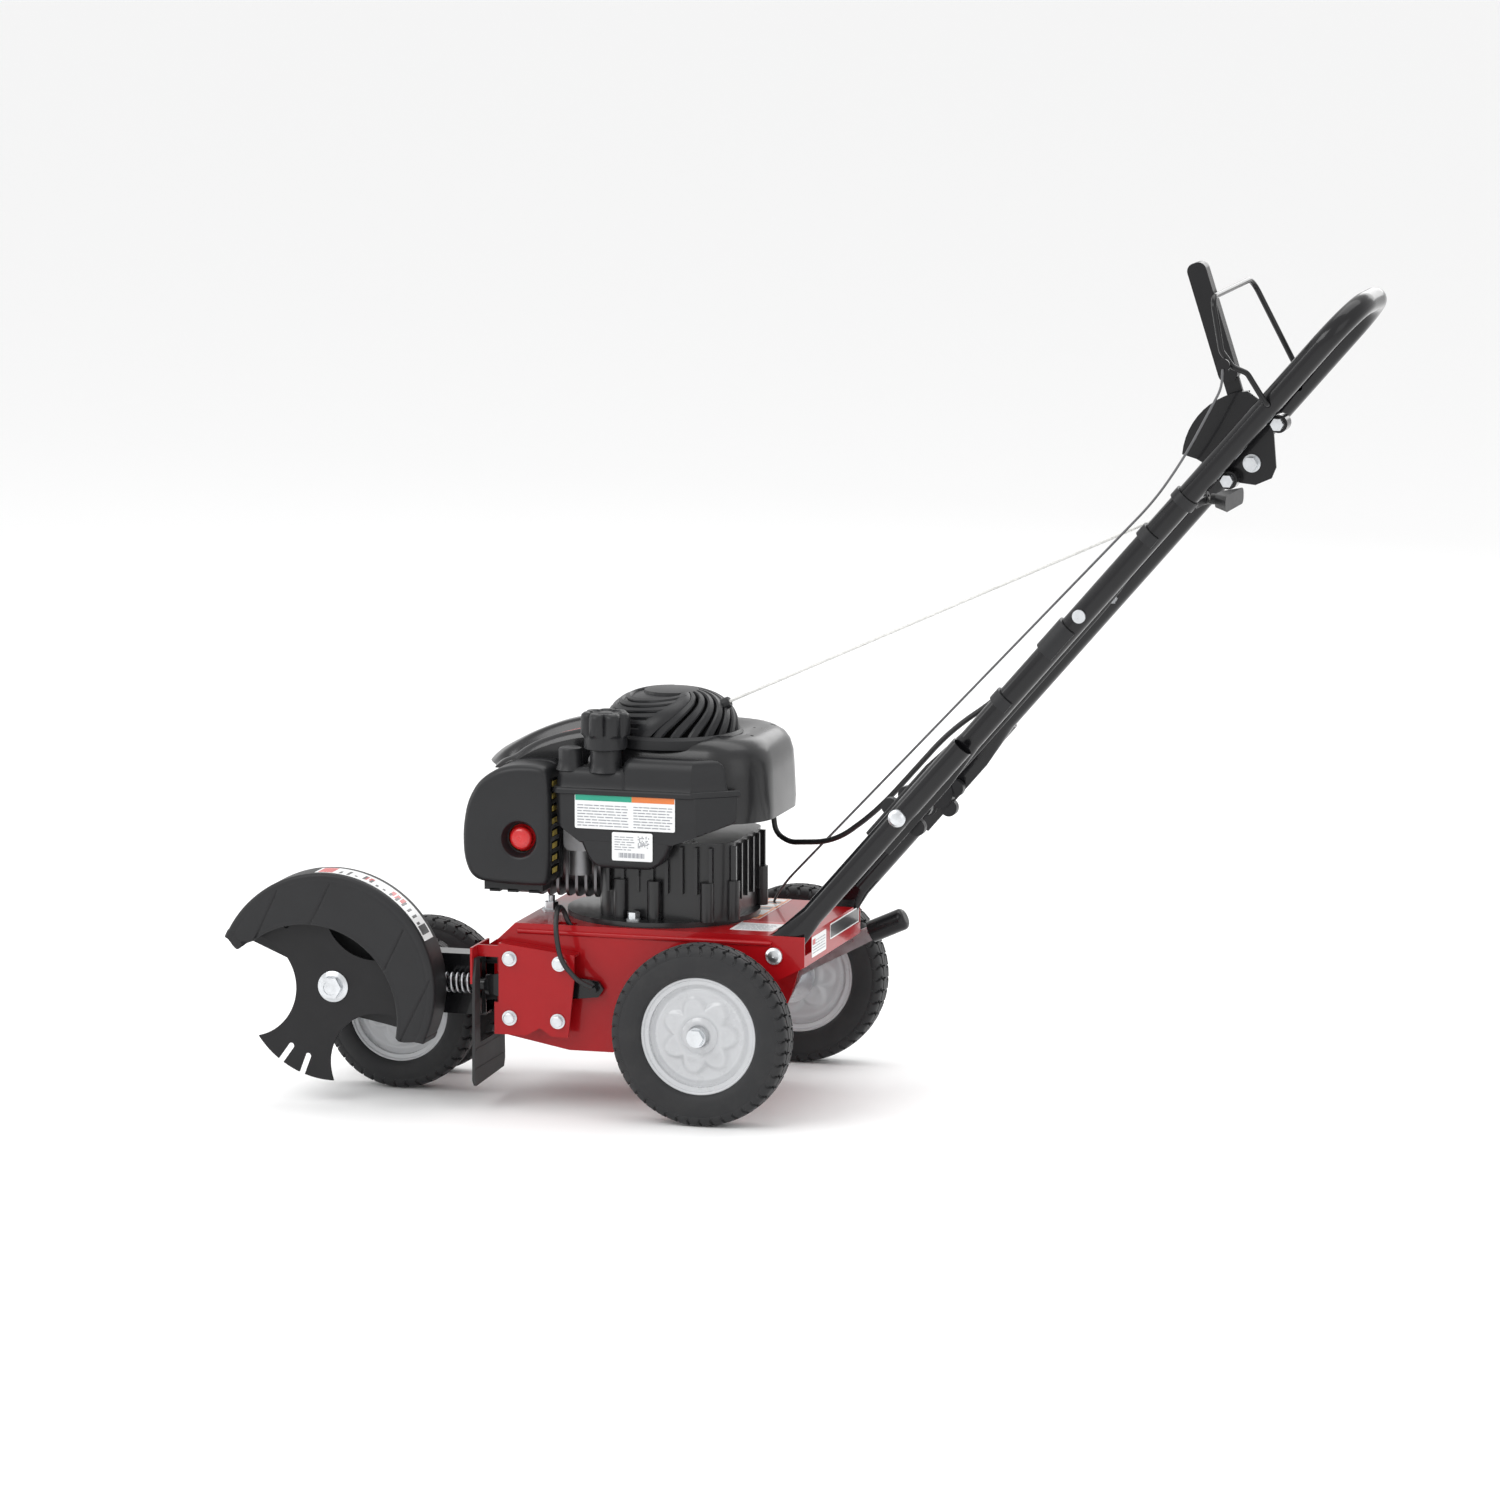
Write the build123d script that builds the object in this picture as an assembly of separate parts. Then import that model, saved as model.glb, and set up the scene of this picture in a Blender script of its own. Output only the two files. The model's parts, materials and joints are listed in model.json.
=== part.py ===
from build123d import *
import math
import os

# Walk-behind lawn edger. Millimetres.
# +X points to the rear (the handle), -Y to the side that carries the blade, +Z up.
# While it is built, the rear axle is at X = 0, the wheels' middle is Y = 0 and the ground is Z = 0.
# At the end everything moves so that the origin is at the middle of the bounding box's base.

# --- driving dimensions ---------------------------------------------------------------
REAR_R, REAR_W = 101.6, 44.0            # 8 inch rear wheels
FRONT_R, FRONT_W = 88.9, 38.0           # 7 inch front wheels
TRACK = 392.0                           # between the rear wheels' middles
FRONT_X = -387.0                        # front axle
FRONT_YS = (-78.0, 22.0)                # middles of the two front wheels
AXLE_R = 6.35                           # half inch axles
RUN = 0.08                              # radial clearance of a running fit

MID_Y = -36.0                           # middle plane of deck, engine and handle
DECK_Y0, DECK_Y1 = -150.0, 78.0         # the deck's two side faces
DECK_FRONT, DECK_REAR = -252.0, 104.0
DECK_TOP = 207.0
SHEET = 2.5                             # deck steel

ENGINE_X = -92.0                        # crankshaft
DOME_X = ENGINE_X + 9                  # middle of the air inlet
BASE_R = 108.0                          # round engine base
BASE_T = 6.0

TUBE_R, TUBE_WALL = 12.7, 1.6           # one inch handle tube
FOOT = (56.0, 169.5)                    # X, Z of the lower end of the handle's line
HANDLE_DEG = 49.0                       # slope of the whole handle
LOWER_Y = (-134.5, 62.5)                # lower tubes, outside
UPPER_Y = (-109.0, 37.0)                # upper tubes, inside
S_FOOT_BOLT, S_FOLD, S_LOWER_END = 20.0, 232.7, 341.0
S_MID_START, S_MID_ROUND, S_SOCKET, S_JOINT = 187.0, 345.0, 500.0, 537.0
S_EYE = 712.0                            # rope guide
S_BAIL, S_APEX = 857.0, 997.0

ARM_Y, ARM_Z = -155.0, 137.0            # bevel axis of the blade arm
ARM_PIVOT_X = -200.0                    # depth axis of the blade arm
BLADE_X, BLADE_Y, BLADE_Z = -429.0, -196.0, 133.0
BLADE_R = 107.0
SCALLOP_R, SCALLOP_D = 58.3, 102.0      # the three round cuts in the blade
GUARD_R = 129.0

LEVER_Y = -60.0                         # plane of the depth lever
LEVER_PIVOT = (590.8, 745.2)
LEVER_TOP = (523.0, 958.3)

CURB_PIVOT = (-95.0, 150.0)
CURB_Y = 86.0                           # middle of the curb arm's plate


# --- helpers --------------------------------------------------------------------------
def block(x0, x1, y0, y1, z0, z1):
    return Pos((x0 + x1) / 2, (y0 + y1) / 2, (z0 + z1) / 2) * Box(x1 - x0, y1 - y0, z1 - z0)


def rod(axis, radius, start, end, a, b):
    """A cylinder along axis from start to end; a and b are its other two coordinates."""
    length = abs(end - start)
    middle = (start + end) / 2
    if axis == "x":
        return Pos(middle, a, b) * Rot(0, 90, 0) * Cylinder(radius, length)
    if axis == "y":
        return Pos(a, middle, b) * Rot(90, 0, 0) * Cylinder(radius, length)
    return Pos(a, b, middle) * Cylinder(radius, length)


def ring(axis, outer, inner, start, end, a, b):
    return rod(axis, outer, start, end, a, b) - rod(axis, inner, start - 1, end + 1, a, b)


def plate(points, y0, y1):
    """A plate from y0 to y1 with an outline of (x, z) points."""
    face = make_face(Plane((0, y1, 0), x_dir=(1, 0, 0), z_dir=(0, -1, 0)) * Polyline(*points, close=True))
    return extrude(face, y1 - y0, dir=(0, -1, 0))


def slab(points, z0, z1):
    """A plate from z0 to z1 with an outline of (x, y) points."""
    return extrude(make_face(Pos(0, 0, z0) * Polyline(*points, close=True)), z1 - z0, dir=(0, 0, 1))


def turned(points, x, y, z, axis="y", side=1):
    """Revolves an outline of (radius, height) points; height runs along +axis, or -axis for side -1."""
    solid = revolve(make_face(Plane.XZ * Polyline(*points, close=True)), Axis.Z)
    turn = {"x": Rot(0, 90 * side, 0), "y": Rot(-90 * side, 0, 0), "z": Rot(0, 90 - 90 * side, 0)}[axis]
    return Pos(x, y, z) * turn * solid


def hexagon(axis, across, start, end, a, b):
    prism = extrude(RegularPolygon(across / math.sqrt(3), 6), abs(end - start))
    low = min(start, end)
    if axis == "y":
        return Pos(a, low, b) * Rot(-90, 0, 0) * prism
    if axis == "x":
        return Pos(low, a, b) * Rot(0, 90, 0) * prism
    return Pos(a, b, low) * prism


def pipe(points, radii, outer, inner=0.0):
    """A round tube along straight runs joined by tangent arcs."""
    path = FilletPolyline(*points, radius=radii)
    section = Circle(outer)
    if inner:
        section = section - Circle(inner)
    return sweep(Plane(origin=path @ 0, z_dir=path % 0) * section, path)


def corner_radii(points):
    """The largest fair arc at each inner point of a cord's route."""
    radii = []
    for before, here, after in zip(points, points[1:], points[2:]):
        run_in = Vector(*here) - Vector(*before)
        run_out = Vector(*after) - Vector(*here)
        turn = math.radians(run_in.get_angle(run_out))
        radii.append(0.45 * min(run_in.length, run_out.length) / math.tan(turn / 2))
    return radii


def cord(points, radius):
    return pipe(points, corner_radii(points), radius)


def on_handle(s, y=0.0, front=0.0):
    """A point at s along the handle's line, front of it by front."""
    c, k = math.cos(math.radians(HANDLE_DEG)), math.sin(math.radians(HANDLE_DEG))
    return (FOOT[0] + s * c - front * k, y, FOOT[1] + s * k + front * c)


def handle_plane(s, y):
    c, k = math.cos(math.radians(HANDLE_DEG)), math.sin(math.radians(HANDLE_DEG))
    return Plane(origin=on_handle(s, y), x_dir=(-k, 0, c), z_dir=(c, 0, k))


def straight_tube(s0, s1, y, outer=TUBE_R, wall=TUBE_WALL):
    return extrude(handle_plane(s0, y) * (Circle(outer) - Circle(outer - wall)), s1 - s0)


def flat_end(s_tip, s_flat, s_round, y_flat, y_round, wide=18.0, thick=4.8):
    """The pressed end of a handle tube, from its flat tip to where it is round again."""
    flat = Ellipse(wide, thick)
    pressed = extrude(handle_plane(min(s_tip, s_flat), y_flat) * flat, abs(s_flat - s_tip))
    sections = Sketch() + handle_plane(s_flat, y_flat) * flat
    round_end = handle_plane(s_round, y_round) * Circle(TUBE_R)
    return pressed + loft([sections, round_end])


# --- wheels ---------------------------------------------------------------------------
def tyre(radius, width, rim_r, x, y, z):
    body = ring("y", radius, rim_r + 1.2, y - width / 2, y + width / 2, x, z)
    body = fillet(body.edges().filter_by(GeomType.CIRCLE).sort_by(lambda e: e.radius)[-2:], width * 0.24)
    return body + ring("y", rim_r + 2, rim_r - 6.5, y - width / 2 + 8, y + width / 2 - 8, x, z)


def rim(rim_r, width, x, y, z, side):
    """A pressed dish with rolled flanges and a hub tube; side is the side it bulges to."""
    half = width / 2
    edge, seat, bore = rim_r + 0.6, rim_r - 7.0, AXLE_R + RUN
    flange = half - 7.7
    outline = [(bore, -half - 1), (bore + 5, -half - 1), (bore + 5, half - 9), (bore + 15, half - 3),
               (rim_r * 0.55, half - 4), (seat - 6, half - 12), (seat - 3, flange - 2.4), (seat - 1, flange),
               (edge, flange), (edge, flange + 2.2), (seat - 4, flange + 2.2), (seat - 8, half - 8),
               (rim_r * 0.55, half - 1.5), (bore + 15, half - 0.5), (bore + 5, half - 5), (bore, half - 5)]
    dish = turned(outline, x, y, z, "y", side)
    barrel = ring("y", seat, seat - 2, y - flange, y + flange, x, z)
    back = side * flange
    lip = ring("y", edge, seat - 2, y - back, y - back - side * 2.2, x, z) if side < 0 else \
        ring("y", edge, seat - 2, y - back - 2.2, y - back, x, z)
    return dish + barrel + lip


# --- deck and what is fixed to it ------------------------------------------------------
SIDE_OUTLINE = [(DECK_FRONT, 82), (DECK_FRONT, 187), (-231, DECK_TOP), (DECK_REAR, DECK_TOP), (DECK_REAR, 173),
                (75, 158), (34, 131), (25, 101.6), (18, 84), (0, 77), (-18, 84), (-40, 92), (-118, 66), (-168, 66)]


def engine_bolt_places():
    angles = [math.radians(-95 + 120 * k) for k in range(3)]
    return [(ENGINE_X + 92 * math.cos(a), MID_Y + 92 * math.sin(a)) for a in angles]


def deck():
    box = plate(SIDE_OUTLINE, DECK_Y0, DECK_Y1)
    front, rear, top = DECK_FRONT + SHEET, DECK_REAR - SHEET, DECK_TOP - SHEET
    inner = [(front, 40), (front, 186), (-230, top), (rear, top), (rear, 40)]
    hollow = plate(inner, DECK_Y0 + SHEET, DECK_Y1 - SHEET)
    shell = box - hollow
    for y in (LOWER_Y[0] - 13.5, LOWER_Y[1] - 13.0):
        shell -= block(62, 108, y, y + 26.5, DECK_TOP - 4, DECK_TOP + 1)
        shell -= block(98, 108, y, y + 26.5, 186, DECK_TOP + 1)
    shell -= rod("z", 32, DECK_TOP - 5, DECK_TOP + 1, ENGINE_X, MID_Y)
    for y in (DECK_Y0, DECK_Y1):
        shell -= rod("y", 5.2, y - 4, y + 4, *on_handle(S_FOOT_BOLT)[::2])
    shell -= rod("y", AXLE_R, DECK_Y0 - 1, DECK_Y0 + 4, 0, REAR_R)
    shell -= block(-184, -163, -146, -132, DECK_TOP - 4, DECK_TOP + 1)
    shell -= block(DECK_FRONT - 1, DECK_FRONT + 5, -139, -101, 86, 171)
    shell -= block(50, 80, -107, -92, DECK_TOP - 4, DECK_TOP + 1)
    shell -= rod("z", 6.5, DECK_TOP - 4, DECK_TOP + 1, 6, 60)
    for x, y in [(-216, -62)] + engine_bolt_places():
        shell -= rod("z", 4.05, DECK_TOP - 4, DECK_TOP + 1, x, y)
    bead = rod("x", 3.0, -228, 66, DECK_Y0 + 0.6, DECK_TOP - 9)
    return shell + (bead & block(-228, 66, DECK_Y0 - 3, DECK_Y0, 190, 206))


def blade_bracket():
    """Red sheet box on the deck's side that carries the arm's pivot, with the flap's strip in front."""
    y0, y1 = -171.0, DECK_Y0
    face = [(-244, 84), (-244, 187), (-156, 177), (-156, 150), (-163, 84), (-182, 84), (-196, 93), (-212, 84)]
    body = plate(face, y0, y0 + SHEET)
    body += plate([(-244, 184.5), (-244, 187), (-156, 177), (-156, 174.5)], y0, y1)
    body += plate([(-249, 84), (-249, 120), (-244, 120), (-244, 84)], y0, y0 + SHEET)
    body += plate([(-244, 84), (-244, 86.5), (-212, 86.5), (-212, 84)], y0, y1)
    body += block(-268, -244, y0, y0 + SHEET, 171, 184)
    body += block(-270.5, -268, -192, -128, 171, 184)
    body += block(-270.5, -268, -192, -178, 143, 172)
    return body


def frame_bolts():
    bolts = []
    for x, z in ((-231, 170), (-173, 167), (-231, 103), (-175, 102)):
        bolts += [turned([(0, 0), (8.5, 0), (8.5, 1.6), (6.5, 1.6), (6.2, 6.5), (5, 7), (0, 7)], x, -171.0, z, "y", -1)]
    x, z = on_handle(S_FOOT_BOLT)[::2]
    for y, side in ((DECK_Y0, -1), (DECK_Y1, 1)):
        head = [(0, 0), (10, 0), (9.4, 2.2), (6.5, 4.2), (0, 5)]
        bolts += [turned(head, x, y, z, "y", side) + rod("y", 4.7, y, y - side * 22, x, z)
                  + hexagon("y", 14, y - side * 13.2, y - side * 20, x, z)]
    x, z = on_handle(S_FOLD)[::2]
    for y, side in ((LOWER_Y[0] - TUBE_R, -1), (LOWER_Y[1] + TUBE_R, 1)):
        head = [(0, 0), (10, 0), (9.4, 2.2), (6.5, 4.2), (0, 5)]
        bolts += [turned(head, x, y, z, "y", side) + rod("y", 3.9, y, y - side * 47, x, z)]
    stud = rod("z", 4, DECK_TOP - 8, DECK_TOP + 17, -216, -62)
    bolts += [stud + hexagon("z", 14, DECK_TOP + 2, DECK_TOP + 10, -216, -62)
              + rod("z", 11, DECK_TOP, DECK_TOP + 2, -216, -62)]
    for bx, by in engine_bolt_places():
        z = DECK_TOP + BASE_T
        bolts += [rod("z", 8.5, z, z + 1.8, bx, by) + hexagon("z", 12.7, z + 1.8, z + 9, bx, by)
                  + rod("z", 3.9, DECK_TOP - 9, z, bx, by)]
    return bolts


def front_arm():
    """Box arm from the deck's front wall to the front axle, between the two front wheels."""
    y0, y1 = MID_Y - 14, MID_Y + 8
    outline = [(DECK_FRONT, 100), (DECK_FRONT, 168), (-285, 168), (-372, 108), (FRONT_X - 13, 101),
               (FRONT_X - 17, 88.9), (FRONT_X - 12, 77), (FRONT_X, 72), (-370, 76), (-290, 100)]
    arm = plate(outline, y0, y1)
    inner = [(-253, 97), (-253, 164), (-286, 164), (-374, 104), (FRONT_X - 18, 99), (FRONT_X - 22, 60), (-290, 60)]
    arm -= plate(inner, y0 + 3, y1 - 3)
    flange = block(-255, DECK_FRONT, y0 - 16, y1 + 16, 104, 164)
    return arm + flange - rod("y", AXLE_R, y0 - 2, y1 + 2, FRONT_X, FRONT_R)


def axles():
    """The front axle with its push nuts, and the near rear wheel's shoulder bolt."""
    y0, y1 = FRONT_YS[0] - FRONT_W / 2, FRONT_YS[1] + FRONT_W / 2
    front = rod("y", AXLE_R, y0 - 3, y1 + 3, FRONT_X, FRONT_R)
    for a, b in ((y0 + 0.5, y0 + 4.5), (y1 - 4.5, y1 - 0.5)):
        front += rod("y", 9.5, a, b, FRONT_X, FRONT_R)
    y = -TRACK / 2 - REAR_W / 2
    near = rod("y", AXLE_R, y - 2, DECK_Y0 + 12, 0, REAR_R)
    near += hexagon("y", 17, y - 9, y - 3.2, 0, REAR_R) + rod("y", 11, y - 3.2, y - 1.5, 0, REAR_R)
    near += hexagon("y", 19, DECK_Y0 + SHEET, DECK_Y0 + 10, 0, REAR_R)
    near += hexagon("y", 19, DECK_Y0 - 8, DECK_Y0, 0, REAR_R)
    return [front, near]


def debris_flap():
    """Rubber sheet behind the blade, slotted for the arm."""
    outline = [(-192, 150), (-186, 171), (-84, 171), (-82, 40), (-86, 31), (-188, 27), (-194, 34)]
    face = make_face(Plane((-268, 0, 0), x_dir=(0, 1, 0), z_dir=(1, 0, 0)) * Polyline(*outline, close=True))
    sheet = extrude(face, 3.2, dir=(1, 0, 0))
    return sheet - block(-270, -260, -173, -100, 74, 169)


def curb_index():
    """Notched plate on the deck's far side that the curb lever locks into."""
    outline = [(81, 164), (81, 203), (101, 203), (101, 198), (97, 195), (101, 192), (101, 186), (97, 183), (101, 180),
               (101, 174)]
    return plate(outline, DECK_Y1, DECK_Y1 + 2.4)


# --- handle ---------------------------------------------------------------------------
def lower_tube(which):
    y = LOWER_Y[which]
    flat_y = (DECK_Y0 + SHEET + 5.0) if which == 0 else (DECK_Y1 - SHEET - 5.0)
    tube = straight_tube(80, S_LOWER_END, y) + flat_end(0, 36, 80, flat_y, y)
    x, z = on_handle(S_FOOT_BOLT)[::2]
    tube -= rod("y", 4.75, flat_y - 9, flat_y + 9, x, z)
    x, z = on_handle(S_FOLD)[::2]
    return tube - rod("y", 4.0, y - 20, y + 20, x, z)


def mid_tube(which):
    side = 1 if which == 0 else -1
    y, outer = UPPER_Y[which], LOWER_Y[which]
    flat_y = outer + side * (TUBE_R + 5.2)
    tube = flat_end(S_MID_START, 290, S_MID_ROUND, flat_y, y)
    tube += straight_tube(S_MID_ROUND, S_JOINT + 19, y)
    x, z = on_handle(S_FOLD)[::2]
    tube -= rod("y", 4.0, flat_y - 12, flat_y + 12, x, z)
    x, z = on_handle(S_JOINT)[::2]
    return tube - rod("y", 4.0, y - 20, y + 20, x, z)


def handle_hoop():
    """The U-shaped upper handle; its ends plug into the middle tubes."""
    near, far = UPPER_Y
    start = S_JOINT + 19
    path = [on_handle(start, near), on_handle(S_APEX, near), on_handle(S_APEX, far), on_handle(start, far)]
    hoop = pipe(path, [52, 52], TUBE_R, TUBE_R - TUBE_WALL)
    for y in UPPER_Y:
        hoop += straight_tube(S_SOCKET, start + 6, y, TUBE_R - TUBE_WALL, TUBE_WALL)
        x, z = on_handle(S_JOINT)[::2]
        hoop -= rod("y", 4.0, y - 20, y + 20, x, z)
        x, z = on_handle(S_BAIL)[::2]
        hoop -= rod("y", 3.6, y - 20, y + 20, x, z)
    return hoop


QUADRANT_BOLTS = ((757, -20.5), (842, -20.5))


def handle_bolts():
    bolts = []
    x, z = on_handle(S_JOINT)[::2]
    for y, side in ((UPPER_Y[0], -1), (UPPER_Y[1], 1)):
        bolts += [rod("y", 3.95, y - side * 17, y + side * 13.4, x, z)
                  + rod("y", 7.5, y + side * 12.75, y + side * 15.5, x, z)
                  + hexagon("y", 12, y - side * 12.75, y - side * 18, x, z)]
    for s, front in QUADRANT_BOLTS:
        x, _, z = on_handle(s, 0, front)
        bolts += [hexagon("y", 12.7, -103, -94, x, z) + rod("y", 3.9, -94, -66, x, z)]
    x, z = LEVER_PIVOT
    bolts += [rod("y", 4.9, -86, LEVER_Y + 12, x, z) + hexagon("y", 14, -88, -80, x, z)
              + rod("y", 10, -80, -78, x, z) + hexagon("y", 14, LEVER_Y + 5, LEVER_Y + 12, x, z)]
    return bolts


def arc_points(cx, cz, radius, a0, a1, count):
    step = (a1 - a0) / count
    angles = [math.radians(a0 + step * k) for k in range(count + 1)]
    return [(cx + radius * math.cos(a), cz + radius * math.sin(a)) for a in angles]


def quadrant():
    """Pressed steel sector that the depth lever swings along, bolted under the near tube."""
    x, z = LEVER_PIVOT
    sector = arc_points(x, z, 79, 94, 175, 12) + [(x - 62, z + 2), (x - 30, z - 16), (x - 26, z - 21),
                                                  (x + 4, z - 24), (x + 22, z - 16), (x + 27, z - 4), (x + 22, z + 60)]
    y0, y1 = -78.0, -75.5
    body = plate(sector, y0, y1)
    rim_outer = arc_points(x, z, 79, 94, 175, 12)
    rim_inner = arc_points(x, z, 76, 94, 175, 12)
    body += plate(rim_outer + rim_inner[::-1], y1, y1 + 8)
    for s, front in QUADRANT_BOLTS:
        bx, _, bz = on_handle(s, 0, front)
        body += rod("y", 10, -94, y1, bx, bz)
        body -= rod("y", 4.0, -110, -60, bx, bz)
    return body - rod("y", 5.0, -90, -60, x, z)


def handle_clips():
    """Cable clips round the near tube, and the rope guide on it."""
    clips = []
    for s in (404, 498, 655):
        x, _, z = on_handle(s, 0)
        length = 40 if s == 498 else 14
        band = extrude(handle_plane(s - length / 2, UPPER_Y[0]) * (Circle(15.6) - Circle(12.75)), length)
        cut = handle_plane(s - length, UPPER_Y[0]) * Pos(-17, 0, 0) * Rectangle(16, 40)
        clips += [band - extrude(cut, 3 * length)]
    band = extrude(handle_plane(S_EYE - 6, UPPER_Y[0]) * (Circle(15.2) - Circle(12.75)), 12)
    x, y, z = ROPE_EYE
    stem = block(x - 5, x + 5, UPPER_Y[0], y, z - 4, z + 4)
    bore = Pos(x, y, z) * Rot(0, 74, 0) * Cylinder(3.4, 30)
    eye = Pos(x, y, z) * Rot(0, 74, 0) * Cylinder(7, 12)
    clips += [band + stem + eye - bore - extrude(handle_plane(S_EYE - 20, UPPER_Y[0]) * Circle(12.75), 40)]
    return clips


def star_knob(which):
    """Five-lobed plastic knob on the fold bolt."""
    side = 1 if which == 0 else -1
    y0 = LOWER_Y[which] + side * (TUBE_R + 10.4)
    x, z = on_handle(S_FOLD)[::2]
    body = rod("y", 17, y0, y0 + side * 15, x, z)
    for k in range(5):
        a = math.radians(90 + 72 * k)
        body += rod("y", 9.5, y0 + side * 3, y0 + side * 13, x + 20 * math.cos(a), z + 20 * math.sin(a))
    return body - rod("y", 3.95, y0 - side * 1, y0 + side * 12, x, z)


# --- controls on the handle -----------------------------------------------------------
def lever_axis():
    dx, dz = LEVER_TOP[0] - LEVER_PIVOT[0], LEVER_TOP[1] - LEVER_PIVOT[1]
    length = math.hypot(dx, dz)
    return dx / length, dz / length, length


def lever_strip(start, end, half, y0, y1):
    ux, uz, _ = lever_axis()
    px, pz = LEVER_PIVOT
    return plate([(px + ux * s - uz * h, pz + uz * s + ux * h)
                  for s, h in ((start, -half), (start, half), (end, half), (end, -half))], y0, y1)


def lever_bar():
    length = lever_axis()[2]
    x, z = LEVER_PIVOT
    bar = lever_strip(0, length - 12, 9, LEVER_Y - 2.5, LEVER_Y + 2.5) + rod("y", 13, LEVER_Y - 2.5, LEVER_Y + 2.5, x, z)
    ux, uz, _ = lever_axis()
    pin = rod("y", 3.5, LEVER_Y - 13.5, LEVER_Y + 2.5, x + ux * 66, z + uz * 66)
    return bar + pin - rod("y", 4.9 + RUN, LEVER_Y - 9, LEVER_Y + 9, x, z)


def lever_grip():
    length = lever_axis()[2]
    grip = lever_strip(length - 132, length + 3, 11.0, LEVER_Y - 8, LEVER_Y + 8)
    grip = fillet(grip.edges().filter_by(Axis.Y), 9)
    return grip - lever_strip(length - 140, length - 11.5, 9.05, LEVER_Y - 2.55, LEVER_Y + 2.55)


BAIL_TOP = (557.0, 931.5)


def bail_wire():
    """Wire loop whose two arms pivot on the outside of the hoop's tubes."""
    px, pz = on_handle(S_BAIL)[::2]
    y0, y1 = UPPER_Y[0] - TUBE_R - 4.5, UPPER_Y[1] + TUBE_R + 4.5
    tx, tz = BAIL_TOP
    near = [(px, UPPER_Y[0] - TUBE_R + 9, pz), (px, y0, pz), (px - 22, y0, pz + 34), (px - 38, y0, pz + 40),
            (px - 51, y0, pz + 57), (tx, y0, tz)]
    far = [(tx, y1, tz), (px, y1, pz), (px, UPPER_Y[1] + TUBE_R - 9, pz)]
    return pipe(near + far, [4.5, 9, 9, 12, 14, 16, 4.5], 3.2)


def cable_hook():
    """Zinc barrel that hooks the clutch cable's end to the bail."""
    px, pz = on_handle(S_BAIL)[::2]
    x, y, z = px - 45.5, UPPER_Y[0] - TUBE_R - 4.5, pz + 43
    return rod("y", 5.5, y - 12.6, y - 3.7, x, z) + rod("y", 7.5, y - 14, y - 12, x, z)


ROPE_START = (-34.0, -35.5, 440.3)
ROPE_EYE = on_handle(S_EYE, -52.0, -10)
PULL = Vector(1, 0, 0)           # the way the starter grip is pulled


def starter_rope():
    """The straight pull of rope from the engine to the eye on the handle."""
    start, eye = Vector(*ROPE_START), Vector(*ROPE_EYE)
    return extrude(Plane(origin=start, z_dir=eye - start) * Circle(2.2), (eye - start).length)


def starter_grip():
    """T grip at the rope's end, resting against the eye."""
    base = Plane(origin=Vector(*ROPE_EYE) + PULL * 8.5, x_dir=(0, 1, 0), z_dir=PULL)
    stem = extrude(base * Circle(6), 10)
    grip = loft([base.offset(8) * RectangleRounded(34, 15, 5), base.offset(26) * RectangleRounded(84, 18, 8)])
    return stem + grip


# --- engine ---------------------------------------------------------------------------
def rounded(solid, axis, radius):
    return fillet(solid.edges().filter_by(axis), radius)


def engine_base():
    z = DECK_TOP
    body = rod("z", BASE_R, z, z + BASE_T, ENGINE_X, MID_Y)
    for bx, by in engine_bolt_places():
        body -= rod("z", 4.0, z - 1, z + 20, bx, by)
    return body - rod("z", 16, z - 1, z + 9, ENGINE_X, MID_Y)


def crankcase():
    """Ribbed sump and crankcase with bolt towers round its lower rim."""
    z0, z1 = DECK_TOP + BASE_T, 300.0
    body = rounded(block(-150, 6, -116, 40, z0, z1), Axis.Z, 30)
    body = body - rod("z", 56, z0 - 1, z1 - 8, ENGINE_X, MID_Y)
    for k in range(8):
        x = -132 + 17 * k
        body += block(x - 1.8, x + 1.8, -121, -112, z0 + 30, z1 - 4)
    for k in range(6):
        y = -96 + 23 * k
        body += block(4, 10, y - 1.8, y + 1.8, z0 + 20, z1 - 4)
    for x, y in ((-143, -80), (-118, -117), (-78, -121), (-18, -117), (5, -94), (8, 8), (-40, 42), (-110, 42)):
        body += rod("z", 8.0, z0, z0 + 44, x, y)
    bore = rod("z", 11 + RUN, z0 - 2, z1 + 1, ENGINE_X, MID_Y)
    hub = rod("z", 22, z0, z0 + 24, ENGINE_X, MID_Y)
    for bx, by in engine_bolt_places():
        body -= rod("z", 10, z0 - 1, z0 + 48, bx, by)
    return body + hub - bore


def cylinder():
    """Finned cylinder and head, lying forward of the crankcase."""
    barrel = rod("x", 38, -236, -151, MID_Y, 268)
    for k in range(7):
        x = -228 + 11 * k
        barrel += rounded(block(x, x + 3.2, MID_Y - 40, MID_Y + 56, 225, 320), Axis.X, 12)
    head = rounded(block(-252, -235, MID_Y - 40, MID_Y + 50, 226, 318), Axis.X, 14)
    for k in range(6):
        y = MID_Y - 34 + 15 * k
        head += block(-262, -250, y, y + 3, 240, 304)
    return barrel + head - rod("x", 6, -270, -245, MID_Y, 268) - rod("x", 10, -270, -252, MID_Y, 268)


def spark_plug():
    plug = turned([(0, 0), (5.8, 0), (5.8, 10), (8.5, 10.5), (8.5, 17), (5, 18), (4.4, 30), (2.5, 31), (0, 31)],
                  -247, MID_Y, 268, "x", -1)
    boot = turned([(0, 19.5), (9, 19.5), (9.5, 40), (7, 44), (0, 44)], -247, MID_Y, 268, "x", -1)
    hollow = turned([(0, 17), (8.6, 17), (8.6, 18.2), (5.1, 18.2), (4.5, 31.1), (0, 31.1)], -247, MID_Y, 268, "x", -1)
    return [plug, boot - hollow]


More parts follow.
